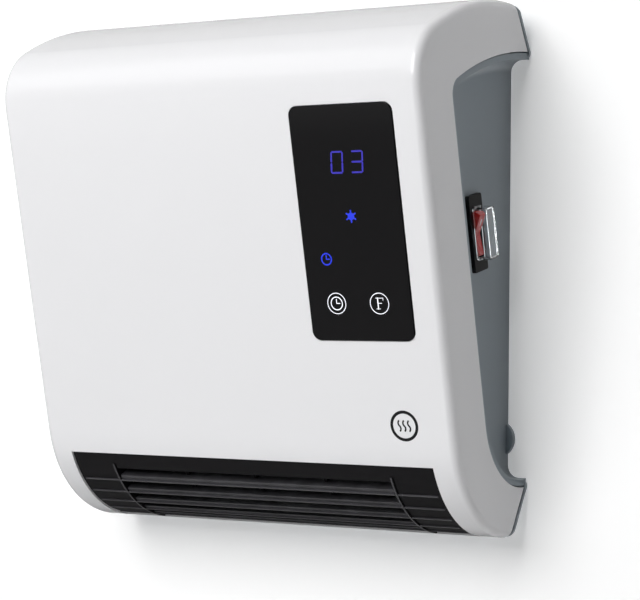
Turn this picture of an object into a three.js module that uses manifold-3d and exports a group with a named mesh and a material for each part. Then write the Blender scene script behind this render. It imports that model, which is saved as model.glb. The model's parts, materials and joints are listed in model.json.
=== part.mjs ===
// A wall-hung bathroom fan heater: a white wrap-round front shell over a grey rear casing, with a
// touch control panel, a covered rocker switch in the right-hand side and a curved outlet grille below.
// Inside, a cross-flow blower pushes air through a finned ceramic heating element to the grille.
//
// Millimetres. +X is to the viewer's right, +Y runs into the wall and +Z is up. The heater is
// modelled from its lowest point up, with the wall at y = 0, and the finished group is then moved so
// that its origin is the centre of the wall bracket's back face, where the heater is held.

import * as THREE from "three";
import { mergeVertices } from "three/addons/utils/BufferGeometryUtils.js";
import Module from "manifold-3d";

const wasm = await Module();
wasm.setup();

// ---------------------------------------------------------------------------------------------
// Driving dimensions

const fit = 0.3; // clearance wherever one piece seats on another
const tilt = THREE.MathUtils.degToRad(13); // how far the front leans back towards its foot

const shell = {
  width: 244,
  height: 262,
  wall: 2.5,
  edgeRadius: 4, // rounding between the front and the side cheeks
  footY: -64, // where the front's plane would meet the level of the lowest point
  bottomRadius: 61,
  cornerRadius: 28, // between the front and the crown
  crownRadius: 160,
  crestY: -22,
};
// The rear edge, cut back at the top and at the foot. The casing's flange shows behind the shell, past a
// narrow reveal.
const rim = { topDrop: 22.3, bottomRise: 24.2, setback: 13.5, flange: 2.7, reveal: 0.8, flangeRadius: 3 };
const sideWindow = {
  band: 31, // width of the white cheek along the front
  crownY: 11.5,
  crownRadius: 196,
  cornerRadius: 9,
  bottomRadius: 40,
};
const casing = {
  wall: 2.5,
  recess: 11, // how far the grey side wall lies inside the cheek
  lip: 3.7, // grey edge that shows round the side window
  lipSetback: 1,
  fillet: 6,
  recessCorner: 9,
  outletClearance: 6,
  frontGap: 12, // from the front's surface back to the casing's front edge
};
// Lengths along the bottom arc are taken from where it leaves the straight front.
const outlet = { start: 11.8, end: 75, endMargin: 14 };
const grille = {
  recess: 1,
  thickness: 2.4,
  headerEnd: 21.5,
  footer: 2,
  firstSlat: 29.5, // the lower edge of its face
  pitch: 9.2,
  slats: 5,
  slatFace: 3,
  slatLength: 10,
  slatThickness: 1.6,
  slatRise: THREE.MathUtils.degToRad(38),
  openHalfWidth: 83,
  ribs: 5,
  ribThickness: 1.6,
  ribDepth: 8,
  ribSetback: 4, // of the middle ribs, behind the slats' faces
  ridge: 0.7, // how proud the ridges and the end ribs stand
  ridgeInset: 2,
  endThickness: 2,
  lipThickness: 2,
};
const panel = {
  fromSide: 43.4, // to the middle of the window
  crownDrop: 57.8, // along the front's slope, from the crown's level to the window's upper edge
  width: 56.2,
  length: 112.6,
  radius: 4.5,
  lens: 1.5,
  proud: 0.6,
  tape: 0.5,
  tapeGap: 0.15,
  ledge: 7.5, // shell left under the lens's edge
  seatMargin: 3,
  lensBevel: 0.4,
};
const displayBoard = { depth: 8, thickness: 1.6, margin: 1.2, postRadius: 2.6, postInset: 4, corner: 2 };
const lensGap = 0.5; // between the lens and what stands on the display board
const digits = { x: 0.9, up: 29.2, width: 20, height: 14.5 };
const indicators = { radius: 3, fan: [0.5, 3.5], timer: [-15.6, -16.8] };
const touchKeys = { up: -38.2, x: [-12.6, 10.9], radius: 4.5, wall: 1.2, floor: 1 };
const displayPlug = { x: -14, up: 13, width: 12, height: 6, depth: 6 };
const rockerSwitch = {
  fromFront: 58.9, // centre of the bezel, square to the front
  up: 138.8,
  bezelWidth: 13.5,
  bezelLength: 37.6,
  bezelThickness: 2.2,
  bezelCorner: 1.2,
  bodyWidth: 9.6,
  bodyLength: 28,
  bodyDepth: 18,
  bodyCorner: 1,
  wall: 1.3,
  cavityDepth: 7,
  cavityCorner: 0.5,
  throw: THREE.MathUtils.degToRad(9), // each way from level
  pivotDepth: 1.5,
  pinRadius: 1.5,
  coverHeight: 7.4,
  coverWall: 0.8,
  coverWidth: 8.4,
  coverLength: 25.5,
  coverCorner: 1.2,
  coverFoot: 0.8,
  terminalPitch: 16,
};
// The rocker's profile: heights over and under its pivot, and how its ends draw in.
const rockerForm = {
  end: 6.2,
  shoulder: 3,
  middle: 3.4,
  under: 2.5,
  taper: 1.6,
  footTaper: 0.5,
  endGap: 0.95,
  sideGap: 0.4,
};
const terminal = { width: 6.4, thickness: 0.8, length: 8 };
const screw = { radius: 1.5, headRadius: 3, headHeight: 2.2, grip: 3.5 };
const casingScrews = {
  lowerInset: 16.2,
  lowerRise: 47.5,
  upperInset: 23,
  upperDrop: 48.8,
  bossRadius: 9.1,
  postRadius: 3.2,
};
const casingJoint = { lower: 12, upper: 38, counterbore: 4.4, shelf: 4, shank: 16, tipGap: 2 };
const bracket = {
  hang: 192, // height of its centre above the lowest point
  width: 130,
  height: 34,
  thickness: 1.5,
  standoff: 4, // depth of the pocket behind it
  hookX: 45,
  hookWidth: 14,
  hookRise: 5,
  holeSpacing: 100,
  holeRadius: 2.5,
  margin: 2, // of the pocket round the bracket
  hookMargin: 1,
};
const intake = { slots: 21, slotWidth: 5.5, pitch: 10, margin: 4 };
const gland = {
  x: -60,
  radius: 6.5,
  bore: 3.6,
  flange: 1.6,
  flangeRadius: 8.5,
  length: 9,
  barb: 1,
  barbSetback: 3,
};
const blower = {
  y: -46,
  z: 106,
  radius: 22,
  endRoom: 33.5, // from the impeller's end to the casing's side wall, for the motor
  blades: 18,
  bladeDepth: 5.5,
  bladeThickness: 1,
  bladeSweep: THREE.MathUtils.degToRad(26),
  bladeBow: 0.8,
  bladeInset: 0.2,
  discThickness: 1.5,
};
// Angles of the scroll in degrees, anticlockwise round the impeller from the wall's side.
const scroll = {
  clearance: 2.5,
  growth: 10,
  wall: 2,
  start: 75,
  end: -20,
  tongue: 215,
  side: 2.5,
  endGap: 3,
  rim: 1,
  mouthRim: 8,
};
const blowerBoss = {
  radius: 6,
  height: 6,
  counterbore: 3.6,
  seat: 3.2,
  footHalf: 6,
  pilotWall: 1,
  tipGap: 0.6,
  spread: 0.75, // of the impeller's half length
};
const shaft = { radius: 2.5, hubRadius: 6, hubLength: 8, hubFloor: 1, tail: 2 };
const play = 0.1; // round the shaft where it turns
const bearing = { radius: 5.5, rubber: 9.5, length: 4.2, setback: 0.2 };
const motor = {
  stack: 12,
  width: 44,
  height: 46,
  rotorRadius: 11,
  airGap: 0.5,
  legWidth: 9,
  coilLength: 22,
  coilThickness: 3.4,
  bridgeThickness: 1.5,
  bridgeWidth: 13,
  bridgeGap: 3,
  screwSpacing: 34,
  rise: 4, // of the shaft above the middle of the stack
  boltInset: 4,
  yoke: 2.5, // steel left between the bore and the coil's window
  bridgeEdge: 5,
  bridgeLeg: 8.5,
  bridgeHead: 9,
  padWall: 1.6,
  cupDepth: 1.6,
};
const core = {
  y: -40,
  z: 52,
  lean: THREE.MathUtils.degToRad(27), // of the air flow from straight down towards the room
  depth: 14,
  bars: 4,
  barHeight: 4,
  finHeight: 9,
  finPitch: 8,
  finThickness: 0.8,
  holder: 6,
  holderWall: 0.7,
  grip: 3,
  barInset: 1,
};
const cutout = { radius: 8, depth: 6, tab: 6, tabWidth: 6, tabThickness: 0.8, aboveCore: 17 };
const leadRadius = { display: 2, mains: 1.4 };
const board = {
  x: -46,
  width: 84,
  height: 78,
  thickness: 1.6,
  standoff: 14,
  z: 190,
  postRadius: 3,
  postInset: 5,
  postFloor: 4,
  screwGrip: 8,
};
// What stands on the control board, with its middle measured from the board's.
const relay = { x: [-22, 2], up: -12, width: 19, height: 15.5, depth: 15 };
const capacitor = { x: 18, up: 18, width: 26, height: 13, depth: 16 };
const terminalBlock = { x: 26, up: -18, width: 14, height: 30, depth: 12 };
const socket = { x: -18, up: 24, width: 14, height: 6, depth: 7 };
const buzzer = { x: -20, up: 8, radius: 6, depth: 9 };

const half = shell.width / 2;
const floorX = half - casing.recess; // outer face of the recessed side wall
const innerX = floorX - casing.wall;
const rimTop = shell.height - rim.topDrop;
const rimBottom = rim.bottomRise;
const panelX = half - panel.fromSide;
const panelUp = shell.height / Math.cos(tilt) - panel.crownDrop - panel.length / 2; // from the front's foot

// ---------------------------------------------------------------------------------------------
// Solids

// A closed geometry as a manifold solid, with its shared corners merged.
function solid(geometry) {
  const bare = geometry.index ? geometry.toNonIndexed() : geometry.clone();
  bare.deleteAttribute("normal");
  bare.deleteAttribute("uv");
  const merged = mergeVertices(bare, 1e-4);
  return new wasm.Manifold(
    new wasm.Mesh({
      numProp: 3,
      vertProperties: merged.attributes.position.array,
      triVerts: new Uint32Array(merged.index.array),
    }),
  );
}

function geometryOf(made) {
  const mesh = made.getMesh();
  const geometry = new THREE.BufferGeometry();
  geometry.setAttribute("position", new THREE.BufferAttribute(mesh.vertProperties, 3));
  geometry.setIndex(new THREE.BufferAttribute(mesh.triVerts, 1));
  geometry.computeVertexNormals();
  return geometry;
}

function union(parts) {
  return parts.reduce((whole, part) => whole.add(part));
}

const point = (y, z) => new THREE.Vector2(y, z);
const turned = (angle, radius, centre = point(0, 0)) =>
  point(centre.x + radius * Math.cos(angle), centre.y + radius * Math.sin(angle));

function arc(centre, radius, from, to, steps) {
  return Array.from({ length: steps + 1 }, (_, i) =>
    turned(from + ((to - from) * i) / steps, radius, centre),
  );
}

// The outline (y, z) carried along X from x0 to x1.
const alongX = new THREE.Matrix4().makeBasis(
  new THREE.Vector3(0, 1, 0),
  new THREE.Vector3(0, 0, 1),
  new THREE.Vector3(1, 0, 0),
);
function slab(outline, x0, x1) {
  const made = new THREE.ExtrudeGeometry(new THREE.Shape(outline), { depth: x1 - x0, bevelEnabled: false });
  return solid(made.applyMatrix4(alongX).translate(x0, 0, 0));
}

// The same, with its ends rounded by radius.
function roundedSlab(outline, x0, x1, radius, steps) {
  const made = new THREE.ExtrudeGeometry(new THREE.Shape(outline), {
    depth: x1 - x0 - 2 * radius,
    bevelThickness: radius,
    bevelSize: radius,
    bevelOffset: -radius,
    bevelSegments: steps,
  });
  return solid(made.applyMatrix4(alongX).translate(x0 + radius, 0, 0));
}

function block(x0, x1, y0, y1, z0, z1) {
  const made = new THREE.BoxGeometry(x1 - x0, y1 - y0, z1 - z0);
  return solid(made.translate((x0 + x1) / 2, (y0 + y1) / 2, (z0 + z1) / 2));
}

// A round bar from one point to another.
function rod(from, to, radius, sides = 16) {
  const a = new THREE.Vector3(...from);
  const b = new THREE.Vector3(...to);
  const made = new THREE.CylinderGeometry(radius, radius, a.distanceTo(b), sides);
  const turn = new THREE.Quaternion().setFromUnitVectors(
    new THREE.Vector3(0, 1, 0),
    b.clone().sub(a).normalize(),
  );
  const middle = a.add(b).multiplyScalar(0.5);
  return solid(made.applyQuaternion(turn).translate(middle.x, middle.y, middle.z));
}

function roundedRectangle(width, height, radius) {
  const x = width / 2 - radius;
  const y = height / 2 - radius;
  const quarter = Math.PI / 2;
  return [
    ...arc(point(x, y), radius, 0, quarter, 4),
    ...arc(point(-x, y), radius, quarter, 2 * quarter, 4),
    ...arc(point(-x, -y), radius, 2 * quarter, 3 * quarter, 4),
    ...arc(point(x, -y), radius, 3 * quarter, 4 * quarter, 4),
  ];
}

// An outline (x, y) carried along Z from z0 to z1.
function plate(outline, z0, z1) {
  const made = new THREE.ExtrudeGeometry(new THREE.Shape(outline), { depth: z1 - z0, bevelEnabled: false });
  return solid(made.translate(0, 0, z0));
}

// A closed anticlockwise outline moved inwards by distance.
function inset(outline, distance) {
  const left = (a, b) => point(a.y - b.y, b.x - a.x).normalize();
  return outline.map((p, i) => {
    const before = left(outline.at(i - 1), p);
    const after = left(p, outline[(i + 1) % outline.length]);
    const middle = before.clone().add(after).normalize();
    return p.clone().addScaledVector(middle, distance / middle.dot(before));
  });
}

const mirrored = (made) => made.mirror([1, 0, 0]);
const bothSides = (made) => made.add(mirrored(made));

// ---------------------------------------------------------------------------------------------
// The heater's section, in the (y, z) plane

// y of the plane that lies `depth` inside the front's surface, at height z.
const frontY = (depth, z) => shell.footY + (depth - z * Math.sin(tilt)) / Math.cos(tilt);

// A section of crown arc, corner, straight front and bottom arc, closed by a straight line at rearY.
function section({ crownY, crownZ, crownRadius, cornerRadius, bottomRadius, depth, floor }, rearY) {
  const crown = point(crownY, crownZ);
  const up = point(-Math.sin(tilt), Math.cos(tilt));
  const foot = point(frontY(depth + cornerRadius, 0), 0);
  const away = foot.clone().sub(crown);
  const reach = crownRadius - cornerRadius;
  const along = away.dot(up);
  const climb = -along + Math.sqrt(along ** 2 - away.lengthSq() + reach ** 2);
  const corner = foot.addScaledVector(up, climb);
  const bottom = point(frontY(depth + bottomRadius, floor + bottomRadius), floor + bottomRadius);
  const meet = corner.clone().sub(crown).angle();
  const front = Math.PI + tilt;
  return [
    ...arc(crown, crownRadius, Math.acos((rearY - crown.x) / crownRadius), meet, 7),
    ...arc(corner, cornerRadius, meet, front, 6).slice(1),
    ...arc(bottom, bottomRadius, front, 2 * Math.PI - Math.acos((rearY - bottom.x) / bottomRadius), 11),
  ];
}

const bodyForm = {
  crownY: shell.crestY,
  crownZ: shell.height - shell.crownRadius,
  crownRadius: shell.crownRadius,
  cornerRadius: shell.cornerRadius,
  bottomRadius: shell.bottomRadius,
  depth: 0,
  floor: 0,
};
const windowForm = {
  crownY: sideWindow.crownY,
  crownZ: rimTop - Math.sqrt(sideWindow.crownRadius ** 2 - sideWindow.crownY ** 2),
  crownRadius: sideWindow.crownRadius,
  cornerRadius: sideWindow.cornerRadius,
  bottomRadius: sideWindow.bottomRadius,
  depth: sideWindow.band,
  floor: rimBottom,
};
const recessForm = {
  ...windowForm,
  crownRadius: windowForm.crownRadius - casing.lip,
  cornerRadius: casing.recessCorner,
  bottomRadius: windowForm.bottomRadius - casing.lip,
  depth: windowForm.depth + casing.lip,
  floor: windowForm.floor + casing.lip,
};
const past = 12; // how far cutters and blanks run past what they cut
const sink = 0.5; // how far a post or a flange runs into what it joins
const pilotRadius = screw.radius + fit;
const bodyOutline = section(bodyForm, past);
const windowOutline = section(windowForm, past);
const bottomCentre = point(frontY(shell.bottomRadius, shell.bottomRadius), shell.bottomRadius);
// The angle round the bottom arc at a length along it from where it leaves the front.
const bottomAngle = (length) => Math.PI + tilt + length / shell.bottomRadius;

// Everything more than `depth` in front of the rear face and its two cut-back edges.
function aheadOfRear(depth) {
  const lean = rim.setback / rim.topDrop;
  const far = shell.height;
  return inset(
    [
      point(-2 * far, -far),
      point((-far - rimBottom) * lean, -far),
      point(0, rimBottom),
      point(0, rimTop),
      point(-far * lean, rimTop + far),
      point(-2 * far, rimTop + far),
    ],
    depth,
  );
}

// ---------------------------------------------------------------------------------------------
// Placing and materials

const finish = (color, roughness, metalness = 0) =>
  new THREE.MeshStandardMaterial({ color, roughness, metalness });
const materials = {
  whitePlastic: finish(0xf1f0f2, 0.18),
  greyPlastic: finish(0x5b6164, 0.42),
  blackPlastic: finish(0x1b1b1d, 0.45),
  blackGloss: finish(0x0b0b0d, 0.06),
  clear: finish(0xdfe6ea, 0.08),
  red: finish(0xb3201d, 0.3),
  brass: finish(0xc8a14a, 0.35, 1),
  steel: finish(0xaab0b4, 0.38, 1),
  zincPlate: finish(0xb9bdc0, 0.42, 1),
  copper: finish(0xa6532c, 0.4, 1),
  aluminium: finish(0xc7cacc, 0.4, 1),
  fibreglass: finish(0x1f5b3a, 0.5),
  heatPlastic: finish(0x2a2a2c, 0.6),
  ductPlastic: finish(0xd6d6d2, 0.5),
  rubber: finish(0x202022, 0.8),
  tape: finish(0x2d2d30, 0.9),
  ledBlue: finish(0x3a48ff, 0.3),
  whiteNylon: finish(0xe6e4dc, 0.5),
  capacitorYellow: finish(0xd0a02a, 0.45),
  relayBlue: finish(0x1f4f9c, 0.4),
  wireRed: finish(0xa02020, 0.5),
  wireWhite: finish(0xdddddd, 0.5),
};

const heater = new THREE.Group();

function place(name, made, material, parent = heater) {
  const mesh = new THREE.Mesh(geometryOf(made), material);
  mesh.name = name;
  parent.add(mesh);
  return mesh;
}

// A group whose X runs along the heater, with its Y and Z turned about X by `turn`.
function frameAt(x, y, z, turn = 0) {
  const group = new THREE.Group();
  group.position.set(x, y, z);
  group.rotation.x = turn;
  heater.add(group);
  group.updateMatrixWorld(true);
  return group;
}

// A solid made in a group's frame, as it lies in the heater's.
const inHeater = (made, group) => made.transform(group.matrixWorld.toArray());

// The control panel's frame lies on the front: Y runs up the slope and Z points out at the viewer.
const panelFrame = frameAt(
  panelX,
  shell.footY - panelUp * Math.sin(tilt),
  panelUp * Math.cos(tilt),
  Math.PI / 2 + tilt,
);

// The switch's frame lies on the recessed right side: Y runs up the slope and Z points out of the side.
const switchFrame = new THREE.Group();
switchFrame.position.set(
  floorX,
  shell.footY + rockerSwitch.fromFront * Math.cos(tilt) - rockerSwitch.up * Math.sin(tilt),
  rockerSwitch.fromFront * Math.sin(tilt) + rockerSwitch.up * Math.cos(tilt),
);
switchFrame.setRotationFromMatrix(
  new THREE.Matrix4().makeBasis(
    new THREE.Vector3(0, Math.cos(tilt), Math.sin(tilt)),
    new THREE.Vector3(0, -Math.sin(tilt), Math.cos(tilt)),
    new THREE.Vector3(1, 0, 0),
  ),
);
heater.add(switchFrame);
switchFrame.updateMatrixWorld(true);

const blowerFrame = frameAt(0, blower.y, blower.z);
const coreFrame = frameAt(0, core.y, core.z, Math.PI - core.lean);

// Where the four screws that hold shell and casing together stand.
const lowerScrew = { x: half - casingScrews.lowerInset, z: casingScrews.lowerRise, joint: casingJoint.lower };
const upperScrew = {
  x: half - casingScrews.upperInset,
  z: shell.height - casingScrews.upperDrop,
  joint: casingJoint.upper,
};
const fasteners = [
  { ...lowerScrew, name: "lower_right" },
  { ...lowerScrew, name: "lower_left", x: -lowerScrew.x },
  { ...upperScrew, name: "upper_right" },
  { ...upperScrew, name: "upper_left", x: -upperScrew.x },
];

// ---------------------------------------------------------------------------------------------
// Front shell and rear casing

const lensPocket = panel.lens - panel.proud + panel.tape + 2 * panel.tapeGap;
const boardWidth = panel.width - 2 * displayBoard.margin;
const boardLength = panel.length - 4 * displayBoard.margin;
const boardPosts = [-1, 1].flatMap((sideways) =>
  [-1, 1].map((lengthways) => [
    sideways * (boardWidth / 2 - displayBoard.postInset),
    lengthways * (boardLength / 2 - displayBoard.postInset),
  ]),
);

// The outlet's opening, larger all round by `margin`.
function outletCut(margin) {
  const from = bottomAngle(outlet.start - margin);
  const to = bottomAngle(outlet.end + margin);
  const outline = [
    ...arc(bottomCentre, shell.bottomRadius + past, from, to, 12),
    ...arc(bottomCentre, shell.bottomRadius - past, to, from, 12),
  ];
  const reach = half - outlet.endMargin + margin;
  return slab(outline, -reach, reach);
}

// The window's outline, larger all round by `margin`.
const panelOutline = (margin) =>
  roundedRectangle(panel.width + 2 * margin, panel.length + 2 * margin, panel.radius + margin);

function panelHole() {
  const [width, length] = [panel.width - 2 * panel.ledge, panel.length - 2 * panel.ledge];
  return plate(roundedRectangle(width, length, panel.radius), -past, past);
}

function frontShell() {
  const skin = roundedSlab(bodyOutline, -half, half, shell.edgeRadius, 4)
    .subtract(slab(inset(bodyOutline, shell.wall), -half + shell.wall, half - shell.wall))
    .intersect(slab(aheadOfRear(rim.flange + rim.reveal), -half - past, half + past))
    .subtract(slab(windowOutline, -half - past, half + past))
    .subtract(outletCut(0));
  const pocket = plate(panelOutline(fit), -lensPocket, past);
  const hole = panelHole();
  const floor = -lensPocket - shell.wall + panel.tape;
  const seat = plate(panelOutline(panel.seatMargin), floor, -shell.wall / 2);
  const boardPost = ([x, y]) =>
    rod([x, y, -displayBoard.depth + fit], [x, y, floor + sink], displayBoard.postRadius, 12);
  const boardPilot = ([x, y]) =>
    rod([x, y, -displayBoard.depth - sink], [x, y, floor - sink], pilotRadius, 10);
  const panelSeat = union([seat, ...boardPosts.map(boardPost)])
    .subtract(union([pocket, hole, ...boardPosts.map(boardPilot)]));
  const posts = fasteners.map(({ x, z, joint }) =>
    rod([x, -joint - fit, z], [x, frontY(0, z) - past, z], casingScrews.postRadius, 12)
      .subtract(rod([x, past, z], [x, -joint - casingJoint.shank, z], pilotRadius, 10)),
  );
  const inside = slab(inset(bodyOutline, shell.wall / 2), -half + shell.wall / 2, half - shell.wall / 2);
  return skin
    .subtract(inHeater(pocket.add(hole), panelFrame))
    .add(inHeater(panelSeat, panelFrame))
    .add(union(posts).intersect(inside));
}

// The recess that the side window looks into, with a rounded floor edge.
function sideRecess() {
  return roundedSlab(section(recessForm, past + casing.fillet), floorX, half + past, casing.fillet, 3);
}

function intakeSlots() {
  const lean = Math.atan2(rim.setback, rim.topDrop);
  const length = Math.hypot(rim.setback, rim.topDrop) - 2 * intake.margin;
  return union(
    Array.from({ length: intake.slots }, (_, i) => {
      const x = (i - (intake.slots - 1) / 2) * intake.pitch;
      const slot = block(-intake.slotWidth / 2, intake.slotWidth / 2, -past, past, -length / 2, length / 2);
      const turn = new THREE.Matrix4().makeRotationX(lean);
      turn.setPosition(x, -rim.setback / 2, rimTop + rim.topDrop / 2);
      return slot.transform(turn.toArray());
    }),
  );
}

// Along the gland's axis, square to the cut-back bottom edge, from the middle of that edge.
const glandLean = Math.atan2(rim.setback, rimBottom);
const glandFrame = frameAt(gland.x, -rim.setback / 2, rimBottom / 2, -Math.PI / 2 - glandLean);

// Rounds the flange off where it turns into the recess, whose edge lies at z with the flange on the
// `away` side of it.
function flangeCorner(z, away) {
  const x = half - fit - rim.flangeRadius;
  const middle = z + away * rim.flangeRadius;
  const [low, high] = away > 0 ? [z - sink, middle] : [middle, z + sink];
  return block(x, half + past, -rim.flange - fit, past, low, high)
    .subtract(rod([x, -past, middle], [x, 2 * past, middle], rim.flangeRadius, 24));
}

// The flange behind the shell's rear edge.
function rearFlange(behind) {
  const corners = [flangeCorner(rimTop - casing.lip, 1), flangeCorner(rimBottom + casing.lip, -1)];
  return roundedSlab(inset(bodyOutline, fit), -half + fit, half - fit, shell.edgeRadius - fit, 4)
    .intersect(behind)
    .subtract(slab(aheadOfRear(rim.flange), -half, half))
    .subtract(bothSides(union(corners)));
}

// The pocket round the wall bracket, as a block larger all round by `wall`.
function bracketPocket(wall, rear) {
  const x = bracket.width / 2 + bracket.margin + wall;
  const z = bracket.height / 2 + bracket.margin + bracket.hookRise + wall;
  return block(-x, x, -bracket.standoff - wall, rear, bracket.hang - z, bracket.hang + z);
}

// The slots that the bracket's hooks reach through.
function hookSlots() {
  const reach = bracket.hookWidth / 2 + bracket.hookMargin;
  return bothSides(
    block(
      bracket.hookX - reach,
      bracket.hookX + reach,
      -bracket.standoff - casing.wall - past,
      0,
      bracket.hang - bracket.hookRise,
      bracket.hang + bracket.thickness / 2 + fit,
    ),
  );
}

function rearCasing() {
  const skin = shell.wall + fit;
  const reach = slab(
    [
      point(frontY(casing.frontGap, -past), -past),
      point(past, -past),
      point(past, shell.height + past),
      point(frontY(casing.frontGap, shell.height + past), shell.height + past),
    ],
    -half,
    half,
  );
  const underSkin = inset(bodyOutline, skin);
  const behind = slab(aheadOfRear(0), -half, half);
  const backPanel = slab(underSkin, -floorX, floorX)
    .intersect(behind)
    .subtract(slab(aheadOfRear(casing.wall), -half, half));
  const sideWall = slab(underSkin, innerX, floorX).intersect(behind).intersect(reach);
  const ring = slab(inset(windowOutline, fit), innerX, half - casing.lipSetback).intersect(behind);
  const roof = slab(underSkin, -half + skin, half - skin)
    .subtract(slab(inset(underSkin, casing.wall), -half, half))
    .intersect(behind)
    .intersect(reach)
    .subtract(slab(windowOutline, -half, half))
    .subtract(outletCut(casing.outletClearance));
  const boss = ({ x, z, joint }, depth = joint) =>
    rod([x, 0, z], [x, -depth, z], casingScrews.bossRadius, 24);
  const ears = union(fasteners.map((screwPlace) => boss(screwPlace, casing.wall)));
  const tunnel = ({ x, z, joint }) =>
    rod([x, past, z], [x, -joint + casingJoint.shelf, z], casingJoint.counterbore, 16)
      .add(rod([x, past, z], [x, -joint - past, z], pilotRadius, 12));
  const postRun = ({ x, z, joint }) =>
    rod([x, -joint, z], [x, frontY(0, z), z], casingScrews.postRadius + fit, 12);
  const standPosts = boardStand.map(([x, z]) =>
    rod([x, -sink, z], [x, -board.standoff + fit, z], board.postRadius, 12));
  const standPilots = boardStand.map(([x, z]) =>
    rod([x, -board.postFloor, z], [x, -board.standoff - sink, z], pilotRadius, 10));
  const blowerBosses = blowerFeet.map((x) =>
    rod([x, -sink, blower.z], [x, -blowerBoss.height, blower.z], blowerBoss.radius, 16));
  const blowerTunnels = blowerFeet.map((x) =>
    rod([x, past, blower.z], [x, -past, blower.z], pilotRadius, 12)
      .add(rod([x, past, blower.z], [x, -blowerBoss.seat, blower.z], blowerBoss.counterbore, 14)));
  const glandHole = inHeater(rod([0, 0, -past], [0, 0, past], gland.radius + fit, 20), glandFrame);
  const [width, length] = [rockerSwitch.bodyWidth + 2 * fit, rockerSwitch.bodyLength + 2 * fit];
  const switchCutter = plate(roundedRectangle(width, length, rockerSwitch.bodyCorner), -past, past);
  const switchHole = inHeater(switchCutter, switchFrame);
  return union([rearFlange(behind), backPanel, roof, bothSides(sideWall.add(ring))])
    .add(union([...fasteners.map((at) => boss(at)), bracketPocket(casing.wall, 0)]))
    .add(union([...standPosts, ...blowerBosses]))
    .subtract(bothSides(sideRecess()).subtract(ears))
    .subtract(union([bracketPocket(0, past), hookSlots(), intakeSlots(), glandHole, switchHole]))
    .subtract(union([...fasteners.map(tunnel), ...fasteners.map(postRun), ...standPilots, ...blowerTunnels]));
}

// ---------------------------------------------------------------------------------------------
// Outlet grille

function arcBand(outer, inner, from, to, steps) {
  return [
    ...arc(bottomCentre, shell.bottomRadius - outer, bottomAngle(from), bottomAngle(to), steps),
    ...arc(bottomCentre, shell.bottomRadius - inner, bottomAngle(to), bottomAngle(from), steps),
  ];
}

const slatStart = (i) => grille.firstSlat + i * grille.pitch;
const grilleHalf = half - outlet.endMargin - fit;

// A slat's face stands on the arc and its blade rises inwards, thinner, from behind it.
function slat(i) {
  const onFace = (length) => turned(bottomAngle(length), shell.bottomRadius - grille.recess, bottomCentre);
  const edge = onFace(slatStart(i));
  const brow = onFace(slatStart(i) - grille.slatFace);
  const inward = point(Math.cos(grille.slatRise), Math.sin(grille.slatRise));
  const across = point(-inward.y, inward.x).multiplyScalar(grille.slatThickness);
  const tip = edge.clone().addScaledVector(inward, grille.slatLength);
  const reach = grille.openHalfWidth + sink;
  return slab([edge, tip, tip.clone().add(across), brow], -reach, reach);
}

function outletGrille() {
  const from = outlet.start + fit;
  const to = outlet.end - fit;
  const back = grille.recess + grille.ribDepth;
  const faceBand = arcBand(grille.recess, grille.recess + grille.thickness, from, to, 12);
  const tuck = shell.wall + fit;
  const lips = [
    [outlet.start - 5, outlet.start + 1.5],
    [outlet.end - 1.5, outlet.end + 3],
  ].map(([a, b]) => slab(arcBand(tuck, tuck + grille.lipThickness, a, b, 2), -grilleHalf, grilleHalf));
  const cell = slab(arcBand(-past, back + past, grille.headerEnd, to - grille.footer, 10),
    -grille.openHalfWidth, grille.openHalfWidth);
  const slats = Array.from({ length: grille.slats }, (_, i) => slat(i));
  const ribs = Array.from({ length: grille.ribs }, (_, i) => {
    const x = -grille.openHalfWidth + (i * 2 * grille.openHalfWidth) / (grille.ribs - 1);
    const atEnd = i === 0 || i === grille.ribs - 1;
    const front = atEnd ? grille.recess - grille.ridge : grille.recess + grille.ribSetback;
    const start = atEnd ? grille.headerEnd - grille.slatFace : from + sink;
    const outline = arcBand(front, back, start, to, 10);
    return slab(outline, x - grille.ribThickness / 2, x + grille.ribThickness / 2);
  });
  const ridges = Array.from({ length: grille.slats }, (_, i) => {
    const [low, proud] = [slatStart(i), grille.recess - grille.ridge];
    const outline = arcBand(proud, grille.recess + sink, low - grille.slatFace, low, 1);
    return slab(outline, -grilleHalf + grille.ridgeInset, grilleHalf - grille.ridgeInset);
  });
  const endBand = arcBand(grille.recess, back, from, to, 8);
  const ends = bothSides(slab(endBand, grilleHalf - grille.endThickness, grilleHalf));
  const frame = union([slab(faceBand, -grilleHalf, grilleHalf), ...ridges]).subtract(cell);
  return union([frame, ends, ...lips, ...slats, ...ribs]);
}

// ---------------------------------------------------------------------------------------------
// Control panel, in its own frame

function screwSolid(at, towards, shank) {
  const a = new THREE.Vector3(...at);
  const d = new THREE.Vector3(...towards).normalize();
  const along = (t) => a.clone().addScaledVector(d, t).toArray();
  return rod(along(-screw.headHeight - fit), along(-fit), screw.headRadius, 12)
    .add(rod(along(-fit - 0.5), along(shank), screw.radius, 10));
}

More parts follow.
